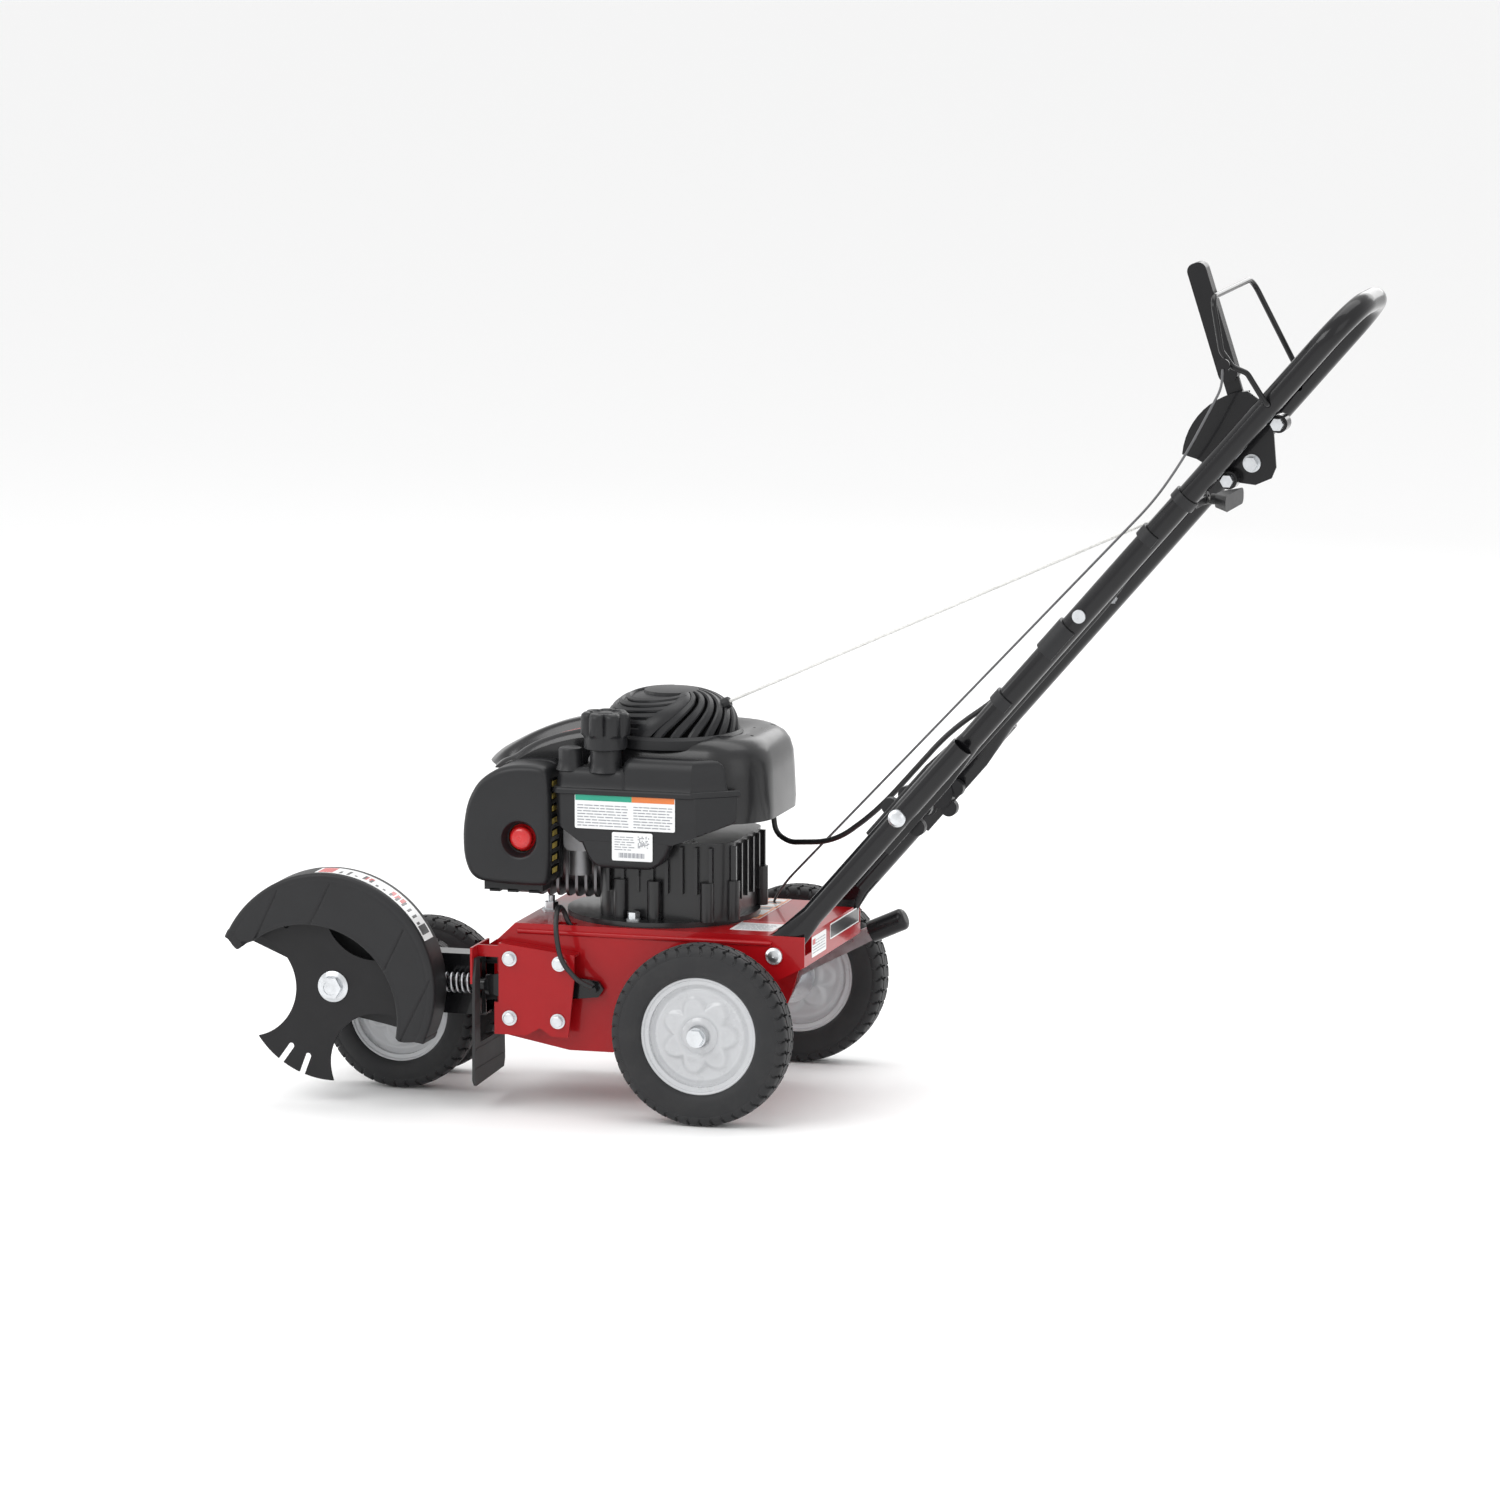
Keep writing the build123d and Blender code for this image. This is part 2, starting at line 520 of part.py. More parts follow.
def blower_housing():
    """Sheet cover over the flywheel, open below, with a round air inlet on top."""
    z0, z1 = 322.0, 404.0
    outer = rounded(block(-186, 39, -112, 84, z0, z1), Axis.Z, 62)
    outer = fillet(outer.faces().sort_by(Axis.Z)[-1].edges(), 16)
    inner = rounded(block(-183, 36, -109, 81, z0 - 5, z1 - 3), Axis.Z, 59)
    cover = outer - inner
    cover -= rod("z", 70, z1 - 10, z1 + 5, DOME_X, MID_Y)
    cover += ring("z", 81.5, 77, z1 - 2, z1 + 6, DOME_X, MID_Y)
    cover -= block(-175, -40, -120, -100, z0 - 1, z0 + 30)
    return cover


def dome_profile(radius, z0, height, count):
    points = []
    for k in range(count + 1):
        a = math.radians(90 * k / count)
        points += [(radius * math.cos(a), z0 + height * math.sin(a))]
    points[-1] = (0, z0 + height)
    return points


def dome_grille():
    """Domed air inlet with long curved slots."""
    z0 = 404.0
    outer = dome_profile(76, z0 + 6, 52, 8)
    inner = dome_profile(73, z0 + 6, 49.5, 8)
    face = make_face(Plane.XZ * Polyline((76, z0 + 2), *outer, *inner[::-1], (73, z0 + 2), close=True))
    dome = Pos(DOME_X, MID_Y, 0) * revolve(face, Axis.Z)
    for k in range(14):
        slot = Pos(53, 0, z0 + 30) * Rot(0, 0, 14) * Box(36, 4.4, 60)
        dome -= Pos(DOME_X, MID_Y, 0) * Rot(0, 0, 360 / 14 * k + 5) * slot
    return dome - Pos(*ROPE_START) * Rot(0, 66.6, 0) * Cylinder(4.2, 60)


def cross_section(points):
    """A bar along X as long as the front cover, with an outline of (y, z) points."""
    face = make_face(Plane((-300, 0, 0), x_dir=(0, 1, 0), z_dir=(1, 0, 0)) * Polyline(*points, close=True))
    return extrude(face, 140, dir=(1, 0, 0))


def front_cover():
    """Swept plastic cover over the cylinder, in front of the inlet."""
    z0 = 372.0
    outline = [(-292, z0), (-291, z0 + 6), (-275, 388), (-257, 400), (-237, 410), (-207, 421), (-187, 428),
               (-168, 432), (-168, 405.5), (-187.5, 405.5), (-187.5, z0)]
    body = plate(outline, -100, 46)
    inner = [(-288, z0 - 3), (-287, z0 + 4), (-272, 384.5), (-255, 396), (-235, 406.5), (-206, 417.5), (-189, 424),
             (-189, z0 - 3)]
    arch = [(-100, z0), (-100, 396), (-92, 412), (-72, 434), (-30, 434), (8, 416), (34, 392), (46, 380), (46, z0)]
    hollow = [(-97, z0 - 5), (-97, 395), (-90, 410), (-71, 430.5), (-31, 430.5), (6, 413), (32, 389.5), (43, 379),
              (43, z0 - 5)]
    swept = slab([(-293, 46), (-293, -50), (-270, -100), (-160, -100), (-160, 46)], z0 - 1, 440)
    swept_inner = slab([(-290, 43), (-290, -50), (-267, -98), (-180, -98), (-180, 43)], z0 - 9, 436)
    return (body & cross_section(arch) & swept) - (plate(inner, -97, 43) & cross_section(hollow) & swept_inner)


def muffler():
    """Exhaust box with a louvred guard on the far side of the cylinder."""
    box = rounded(block(-236, -152, 44, 88, 262, 322), Axis.Y, 12)
    pipe_in = rod("y", 11, 26, 46, -172, 292)
    guard = rounded(block(-242, -146, 90, 94, 256, 328), Axis.Y, 12)
    for k in range(6):
        guard -= block(-232, -156, 88, 96, 268 + 10 * k, 273 + 10 * k)
    posts = rod("y", 4, 86, 91, -225, 310) + rod("y", 4, 86, 91, -163, 274)
    return [box + pipe_in + guard + posts]


CAP_X, CAP_Y = -131.0, -131.0


def fuel_tank():
    """Black moulded tank on the near side, in two shells with a lip between them."""
    lower = rounded(block(-186, 22, -146, -116.5, 300, 358), Axis.Z, 10)
    lower -= plate([(-58, 299), (30, 299), (30, 331)], -150, -110)
    lower -= plate([(-190, 299), (-154, 299), (-190, 325)], -150, -110)
    foot = plate([(-156, 302), (-143, 278), (-134, 272), (-76, 272), (-66, 278), (-54, 302)], -146, -124)
    lip = rounded(block(-190, 28, -150, -113.5, 356, 362), Axis.Z, 10)
    upper = rounded(block(-184, -98, -145, -114.5, 361, 384), Axis.Z, 12)
    raised = rounded(block(-112, 8, -145, -114.5, 361, 396), Axis.Z, 12)
    raised = fillet(raised.faces().sort_by(Axis.Z)[-1].edges(), 7)
    raised -= slab([(-38, -154), (30, -154), (30, -96)], 355, 400)
    neck = rod("z", 17, 380, 414, CAP_X, CAP_Y)
    boss = rod("z", 13, 380, 404, -172, -130)
    shells = lower + lip - slab([(-33, -154), (44, -154), (44, -99)], 290, 370)
    tank = shells + foot + upper + raised + neck
    return tank + fillet(boss.edges().sort_by(Axis.Z)[-1], 5)


def fuel_cap():
    """Lobed cap over the tank's neck."""
    x, y, z = CAP_X, CAP_Y, 396.5
    cap = rod("z", 24, z + 9, z + 50, x, y)
    for k in range(6):
        a = math.radians(60 * k)
        cap += rod("z", 8, z + 19, z + 47, x + 22 * math.cos(a), y + 22 * math.sin(a))
    return cap - rod("z", 17.3, z, z + 18, x, y)


def carburettor():
    body = rounded(block(-187.5, -154, -108, -80, 284, 319), Axis.Y, 8)
    bowl = rod("z", 13, 256, 285, -172, -94)
    throat = rod("x", 9.5, -212, -186, -89.5, 303)
    elbow = rod("y", 9.5, -99.8, -89.5, -212, 303)
    return body + bowl + throat + elbow


PRIMER_X, PRIMER_Z = -225.0, 302.0
FILTER_OUTLINE = [(-190, 254), (-190, 377), (-199, 386), (-230, 386), (-253, 380), (-274, 365), (-287, 341), (-292, 310),
                  (-291, 280), (-284, 260), (-270, 251), (-200, 249)]


def scaled(points, cx, cz, k):
    return [(cx + (x - cx) * k, cz + (z - cz) * k) for x, z in points]


def air_filter_cover():
    """Hollow cover with a recess round the primer and a slotted rear edge."""
    cx, cz = -240.0, 318.0
    body = plate(FILTER_OUTLINE, -156, -104)
    body = fillet(body.faces().sort_by(Axis.Y)[0].edges(), 6)
    body -= plate(scaled(FILTER_OUTLINE, cx, cz, 0.95), -152.5, -100)
    body -= rod("y", 17, -160, -150, PRIMER_X, PRIMER_Z)
    body += ring("y", 19.5, 17, -152.8, -141, PRIMER_X, PRIMER_Z)
    body += ring("y", 19.5, 13.4, -143, -141, PRIMER_X, PRIMER_Z)
    for k in range(7):
        z = 268 + 14 * k
        body -= block(-198, -188, -146, -112, z, z + 8)
    latch = block(-270, -202, -140, -108, 239, 251)
    return body + latch


def air_filter_element():
    cx, cz = -240.0, 318.0
    return plate(scaled(FILTER_OUTLINE, cx, cz, 0.93), -131, -105)


def air_filter_base():
    body = plate(FILTER_OUTLINE, -103.4, -100)
    return body - rod("y", 7, -105, -98, -212, 303)


def primer_bulb():
    outline = [(0, 0), (15.5, 0), (15.5, 2.4), (13.0, 2.6), (12.8, 9), (9, 12.2), (0, 13)]
    return turned(outline, PRIMER_X, -138.3, PRIMER_Z, "y", -1)


# --- crankshaft -----------------------------------------------------------------------
PULLEY_Z = 168.0


def grooved(outer, root, half):
    """Outline of a vee pulley's rim."""
    return [(outer, -half), (outer, -half + 1.6), (root, -2), (root, 2), (outer, half - 1.6), (outer, half)]


def crankshaft():
    shaft = rod("z", 11, 144, 398, ENGINE_X, MID_Y)
    points = [(11.02, -8)] + grooved(33, 22, 8) + [(11.02, 8)]
    pulley = turned(points, ENGINE_X, MID_Y, PULLEY_Z, "z")
    return [shaft, pulley]


def flywheel():
    z0 = 340.0
    wheel = rod("z", 69, z0, z0 + 16, ENGINE_X, MID_Y) + rod("z", 26, z0 + 16, z0 + 40, ENGINE_X, MID_Y)
    for k in range(16):
        fin = Pos(52, 0, z0 + 26) * Rot(0, 0, 28) * Box(30, 2.4, 22)
        wheel += Pos(ENGINE_X, MID_Y, 0) * Rot(0, 0, 22.5 * k) * fin
    return wheel - rod("z", 11.01, z0 - 5, z0 + 60, ENGINE_X, MID_Y)


# --- belt drive -----------------------------------------------------------------------
BELT_Y = -120.0
SPINDLE_PULLEY_R = 26.0


def drive_belt():
    """Belt from the crank pulley round the guide idlers to the blade pulley, with a quarter turn."""
    r, groove = 22.0, 27.5
    zt, zb = BLADE_Z + r, BLADE_Z - r
    x0 = BLADE_X - r
    a = (ENGINE_X + groove, MID_Y - groove, PULLEY_Z)
    route = [(-320, BELT_Y, zt), (x0, BELT_Y, zt), (x0, BELT_Y, zb), (-300, BELT_Y, zb), (-196, BELT_Y - 6, zb + 18),
             (-150, -106, PULLEY_Z), (-100, MID_Y - groove, PULLEY_Z), a, (a[0], MID_Y + groove, PULLEY_Z),
             (-112, MID_Y + groove, PULLEY_Z), (-176, -90, PULLEY_Z), (-222, BELT_Y, zt + 4)]
    radii = [r - 0.2, r - 0.2, 60, 50, 60, 60, groove - 1, groove - 1, 40, 60]
    return pipe(route, radii, 3.8)


def idler_arm():
    """Swinging tension arm under the deck, with its roller."""
    arm = slab([(-58, 24), (-40, 24), (-78, -8), (-176, -64), (-184, -54), (-90, 4)], 186, 189)
    arm += rod("z", 12, 182, 190, -49, 26)
    arm -= rod("z", 6 + RUN, 180, 196, -49, 26)
    roller = ring("z", 17, 5.0, 160, 178, -176, -56)
    post = rod("z", 5.0, 158, 188, -176, -56)
    return [arm + post, roller]


def idler_pin():
    return rod("z", 6, 180, DECK_TOP - SHEET, -49, 26) + rod("z", 9, 178, 181.8, -49, 26)


# --- blade arm ------------------------------------------------------------------------
def arm_pin():
    """Pivot pin of the blade arm, on the deck's side."""
    return rod("y", 7, -167.5, DECK_Y0, ARM_PIVOT_X, ARM_Z) + rod("y", 11, DECK_Y0 - 3.2, DECK_Y0, ARM_PIVOT_X, ARM_Z)


def blade_arm():
    """Arm plate, tail, round bar and the belt's box beam."""
    y0, y1 = ARM_Y - 3.5, ARM_Y + 1.4
    outline = [(-262, 147), (-236, 152), (-200, 158), (-160, 150), (-132, 147), (-126, 138), (-132, 129),
               (-160, 126), (-200, 114), (-236, 122), (-262, 127)]
    body = plate(outline, y0, y1)
    body += rod("x", 7, -398, -258, ARM_Y, ARM_Z)
    body += rod("x", 11.5, -262.5, -258, ARM_Y, ARM_Z)
    body += rod("x", 10.5, -275.5, -272.5, ARM_Y, ARM_Z)
    body -= rod("y", 7 + RUN, y0 - 5, y1 + 5, ARM_PIVOT_X, ARM_Z)
    beam = block(-378, -270, -136, -104, 98, 166) - block(-380, -260, -133.5, -106.5, 100.5, 163.5)
    web = block(-275.5, -272.5, -156, -104, 100, 166) - block(-280, -270, -133.5, -106.5, 100.5, 163.5)
    tail_pin = rod("y", 4, -166, y0, -136, 138)
    body += web
    return body + beam + tail_pin


def arm_spring():
    """Coil spring on the bar, pressing the blade head forward into its notches."""
    turns, pitch = 5.5, 6.4
    helix = Helix(pitch=pitch, height=turns * pitch, radius=10.1)
    wire = sweep(Plane(origin=helix @ 0, z_dir=helix % 0) * Circle(1.4), helix, is_frenet=True)
    return Pos(-277.5 - turns * pitch, ARM_Y, ARM_Z) * Rot(0, 90, 0) * wire


def spindle_housing():
    """Blade head: sleeve on the bar, bracket and bearing housing."""
    sleeve = ring("x", 12, 7 + RUN, -396, -316.5, ARM_Y, ARM_Z)
    housing = rod("y", 21, -168, -136.5, BLADE_X, BLADE_Z)
    web = block(-416, -380, -160, -150, 124, 148)
    collar = rod("x", 12.4, -320, -316.5, ARM_Y, ARM_Z)
    bracket = block(-460, -400, -167.5, -163, 104, 162)
    body = housing + web + sleeve + collar + bracket
    body -= rod("x", 7 + RUN, -400, -310, ARM_Y, ARM_Z)
    return body - rod("y", 10 + RUN, -175, -130, BLADE_X, BLADE_Z)


def guard_point(dx, dz):
    return BLADE_X + dx, BLADE_Z + dz


def blade_guard():
    """Moulded half drum over the blade: front ring, outer wall and back plate."""
    cx, cz = guard_point(-5.0, 2.0)
    ix, iz = guard_point(-25.0, -33.0)
    front_y, back_y, wall = -214.0, -167.5, 3.0
    drum = rod("y", GUARD_R, front_y, back_y, cx, cz)
    drum = drum - rod("y", GUARD_R - wall, front_y + wall, back_y - wall, cx, cz)
    mouth = [guard_point(dx, dz) for dx, dz in ((-300, 45), (-86, 45), (-45, 7), (-20, -26), (22, -39), (76, -50),
                                                (300, -70), (300, -300), (-300, -300))]
    back = drum - plate(mouth, back_y - wall - 0.01, back_y + 1)
    ring_part = [guard_point(dx, dz) for dx, dz in ((-300, 62), (-126, 60), (-118, 38), (-100, 28), (-84, 48), (-60, 20),
                                                    (0, -40), (62, -58), (80, -55), (86, -59), (126, -60), (300, -50),
                                                    (300, -300), (-300, -300))]
    body = back - plate(ring_part, front_y - 1, back_y - wall - 0.005)
    body -= rod("y", 104.0, front_y - 1, front_y + wall + 0.01, ix, iz)
    body -= rod("y", 21.3, back_y - 10, back_y + 1, BLADE_X, BLADE_Z)
    return body


def blade():
    disc = rod("y", BLADE_R, BLADE_Y - 1.6, BLADE_Y + 1.6, BLADE_X, BLADE_Z)
    for deg in (182, 302, 62):
        a = math.radians(deg)
        x, z = BLADE_X + SCALLOP_D * math.cos(a), BLADE_Z + SCALLOP_D * math.sin(a)
        disc -= rod("y", SCALLOP_R, BLADE_Y - 5, BLADE_Y + 5, x, z)
        for offset in (52.5, 67.5):
            b = math.radians(deg + offset)
            x, z = BLADE_X + 86 * math.cos(b), BLADE_Z + 86 * math.sin(b)
            disc -= rod("y", 3.4, BLADE_Y - 5, BLADE_Y + 5, x, z)
            slot = Pos(x, BLADE_Y, z) * Rot(0, -(deg + offset), 0) * Pos(20, 0, 0) * Box(40, 10, 6.8)
            disc -= slot
    return disc - rod("y", 8.0, BLADE_Y - 5, BLADE_Y + 5, BLADE_X, BLADE_Z)


def spindle_shaft():
    """Blade spindle with its clamp washer, nut and vee pulley."""
    shaft = rod("y", 10, -192, -104, BLADE_X, BLADE_Z) + rod("y", 7.9, -208, -190, BLADE_X, BLADE_Z)
    collar = rod("y", 17.5, -194.2, -190, BLADE_X, BLADE_Z)
    washer = turned([(8, 0), (17.5, 0), (17.5, 1.2), (13, 3.4), (8, 3.4)], BLADE_X, -197.8, BLADE_Z, "y", -1)
    nut = hexagon("y", 22, -209, -201.3, BLADE_X, BLADE_Z) - rod("y", 8, -215, -195, BLADE_X, BLADE_Z)
    points = [(10.02, -8)] + grooved(SPINDLE_PULLEY_R, 17, 8) + [(10.02, 8)]
    pulley = turned(points, BLADE_X, BELT_Y, BLADE_Z, "y")
    return [shaft + collar, washer, nut, pulley]


# --- curb wheel arm -------------------------------------------------------------------
def curb_pin():
    x, z = CURB_PIVOT
    return rod("y", 8, DECK_Y1, 95, x, z) + rod("y", 13, 92.2, 95, x, z)


CURB_OUTLINE = [(-111, 138), (-109, 164), (-89, 166), (0, 128), (24, 140), (122, 184), (128, 170),
                (34, 120), (20, 92), (4, 82), (-16, 84)]


def curb_arm():
    """Swinging arm for the far rear wheel, with its hand lever and axle."""
    px, pz = CURB_PIVOT
    y0, y1 = 83.0, 89.0
    arm = plate(CURB_OUTLINE, y0, y1)
    arm -= rod("y", 8 + RUN, y0 - 2, y1 + 2, px, pz)
    y_end = TRACK / 2 + REAR_W / 2
    axle = rod("y", AXLE_R, y0, y_end + 2, 0, REAR_R)
    axle += hexagon("y", 17, y_end + 3.2, y_end + 9, 0, REAR_R) + rod("y", 11, y_end + 1.5, y_end + 3.2, 0, REAR_R)
    spacer = ring("y", 13, AXLE_R, y1, TRACK / 2 - REAR_W / 2 - 3, 0, REAR_R)
    cup = turned([(13, 0), (27, 0), (26, 12), (17, 16), (13, 16)], 0, 150, REAR_R, "y")
    return [arm + axle, spacer + cup]


def curb_grip():
    """Rubber grip pushed on the end of the curb lever."""
    a = math.radians(24.2)
    start = Vector(115, CURB_Y, 173.5)
    base = Plane(origin=start, x_dir=(0, 1, 0), z_dir=(math.cos(a), 0, math.sin(a)))
    grip = extrude(base * Circle(12.5), 44)
    grip = fillet(grip.edges().filter_by(GeomType.CIRCLE).sort_by(Axis.X)[-1], 6)
    return grip - plate(CURB_OUTLINE, CURB_Y - 3.05, CURB_Y + 3.05)


# --- cables ---------------------------------------------------------------------------
CLUTCH_ROUTE = [(5, 60, 150), (5, 60, 204), (24, 54, 232), (492, -118, 706), (530, -136, 758), (571.3, -134, 839.8)]
ENGINE_ROUTE = [(17, 26, 314), (20, 25, 292), (38, 19, 283), (100, -14, 292), (160, -50, 336),
                on_handle(330, -86, 26), on_handle(400, -88, 9), on_handle(845, -88, 8.5)]
DEPTH_ROUTE = [(548, -66, 742), (528, -66, 724), on_handle(695, -73, 8), on_handle(630, -82, -4),
               on_handle(565, -89.5, -11.5), on_handle(320, -89.5, -12),
               on_handle(235, -84, -8), on_handle(120, -88, 4),
               (78, -98, 218), (52, -100, 196), (20, -104, 190), (-60, -118, 192), (-130, -132, 190),
               (-170, -138, 200), (-178, -142, 226), (-177, -167, 230), (-174, -182.5, 206), (-168, -182.5, 172),
               (-150, -177, 150), (-136, -170.5, 142)]


def clutch_cable():
    return cord(CLUTCH_ROUTE, 1.8)


def engine_cable():
    return cord(ENGINE_ROUTE, 3.2)


def depth_cable():
    return cord(DEPTH_ROUTE, 3.0)


# --- all nodes ------------------------------------------------------------------------
def rim_size(radius):
    return radius * 0.648


def wheel_nodes(name, radius, width, x, y, side):
    r = rim_size(radius)
    return {f"tyre_{name}": tyre(radius, width, r, x, y, radius), f"rim_{name}": rim(r, width, x, y, radius, side)}


def build():
    nodes = {
        "deck": deck(), "blade_bracket": blade_bracket() + arm_pin(), "frame_bolts": frame_bolts(),
        "front_arm": front_arm(), "axles": axles(), "debris_flap": debris_flap(), "curb_index": curb_index(),
        "pivot_pins": [idler_pin(), curb_pin()],
        "lower_tube_near": lower_tube(0), "lower_tube_far": lower_tube(1),
        "engine_base": engine_base(), "crankcase": crankcase(), "cylinder": cylinder(), "spark_plug": spark_plug(),
        "blower_housing": blower_housing(), "dome_grille": dome_grille(), "front_cover": front_cover(),
        "fuel_tank": fuel_tank(), "carburettor": carburettor(), "air_filter_base": air_filter_base(),
        "air_filter_element": air_filter_element(), "air_filter_cover": air_filter_cover(), "muffler": muffler(),
        "starter_rope": starter_rope(), "clutch_cable": clutch_cable(), "engine_cable": engine_cable(),
        "depth_cable": depth_cable(), "drive_belt": drive_belt(),
        "mid_tubes": [mid_tube(0), mid_tube(1)], "handle_hoop": handle_hoop(), "handle_bolts": handle_bolts(),
        "quadrant": quadrant(), "handle_clips": handle_clips(),
        "star_knob_near": star_knob(0), "star_knob_far": star_knob(1),
        "lever_bar": lever_bar(), "lever_grip": lever_grip(), "bail_wire": [bail_wire(), cable_hook()],
        "starter_grip": starter_grip(), "crankshaft": crankshaft(), "flywheel": flywheel(),
        "primer_bulb": primer_bulb(), "fuel_cap": fuel_cap(), "idler_arm": idler_arm(),
        "curb_arm": curb_arm(), "curb_grip": curb_grip(),
        "blade_arm": blade_arm(), "arm_spring": arm_spring(), "spindle_housing": spindle_housing(),
        "blade_guard": blade_guard(), "blade": blade(), "spindle_shaft": spindle_shaft(),
    }
    nodes |= wheel_nodes("rear_near", REAR_R, REAR_W, 0, -TRACK / 2, -1)
    nodes |= wheel_nodes("rear_far", REAR_R, REAR_W, 0, TRACK / 2, 1)
    nodes |= wheel_nodes("front_near", FRONT_R, FRONT_W, FRONT_X, FRONT_YS[0], -1)
    nodes |= wheel_nodes("front_far", FRONT_R, FRONT_W, FRONT_X, FRONT_YS[1], 1)
    return nodes


def solids_of(shape):
    shapes = shape if isinstance(shape, list) else [shape]
    return [solid for s in shapes for solid in s.solids()]


NODES = {name: solids_of(shape) for name, shape in build().items()}
BOX = Compound([s for solids in NODES.values() for s in solids]).bounding_box()
SHIFT = (-(BOX.min.X + BOX.max.X) / 2, -(BOX.min.Y + BOX.max.Y) / 2, -BOX.min.Z)

os.makedirs("parts", exist_ok=True)
for name, solids in NODES.items():
    moved = [Pos(*SHIFT) * s for s in solids]
    export_step(moved[0] if len(moved) == 1 else Compound(children=moved), f"parts/{name}.step")
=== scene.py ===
import json
import random
from math import acos, atan2, cos, exp, hypot, log1p, pi, radians, sin, sqrt, tan

import bpy
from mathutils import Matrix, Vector
from mathutils.bvhtree import BVHTree


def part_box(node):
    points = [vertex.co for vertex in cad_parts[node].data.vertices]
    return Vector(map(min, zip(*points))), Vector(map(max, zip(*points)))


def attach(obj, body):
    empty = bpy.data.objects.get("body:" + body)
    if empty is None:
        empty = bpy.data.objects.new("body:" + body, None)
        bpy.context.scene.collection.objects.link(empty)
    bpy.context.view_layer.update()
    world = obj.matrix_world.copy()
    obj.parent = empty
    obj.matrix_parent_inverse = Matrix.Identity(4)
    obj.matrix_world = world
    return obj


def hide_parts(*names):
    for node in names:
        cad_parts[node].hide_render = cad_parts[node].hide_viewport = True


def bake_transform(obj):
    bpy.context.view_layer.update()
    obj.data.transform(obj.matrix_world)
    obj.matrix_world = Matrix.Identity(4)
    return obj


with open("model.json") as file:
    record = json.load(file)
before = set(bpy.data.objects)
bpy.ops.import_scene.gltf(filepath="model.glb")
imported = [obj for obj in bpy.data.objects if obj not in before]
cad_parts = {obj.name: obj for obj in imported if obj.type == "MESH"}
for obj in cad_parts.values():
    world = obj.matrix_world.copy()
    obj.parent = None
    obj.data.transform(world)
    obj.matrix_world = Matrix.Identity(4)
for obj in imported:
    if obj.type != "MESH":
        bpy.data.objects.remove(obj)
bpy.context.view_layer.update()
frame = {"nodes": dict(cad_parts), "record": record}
random.seed(7)

SLOT_OF = {row["node"]: row["material_slot"] for row in frame["record"]["subparts"]}
SLOTS = set(SLOT_OF.values())
BODY_OF = {node: body for body, nodes in frame["record"]["behaviour"]["bodies"].items() for node in nodes}


# --- materials ---
DUST_COLOR = (0.3, 0.28, 0.25, 1)
SKIN_RADIUS = (0.006, 0.001, 0.0008)  # how far light travels inside the primer's soft rubber, in m


def link(tree, a, b):
    tree.links.new(a, b)


def node(tree, kind, x, y, **values):
    n = tree.nodes.new(kind)
    n.location = (x, y)
    for key, value in values.items():
        if key in n.inputs:
            n.inputs[key].default_value = value
        else:
            setattr(n, key, value)
    return n


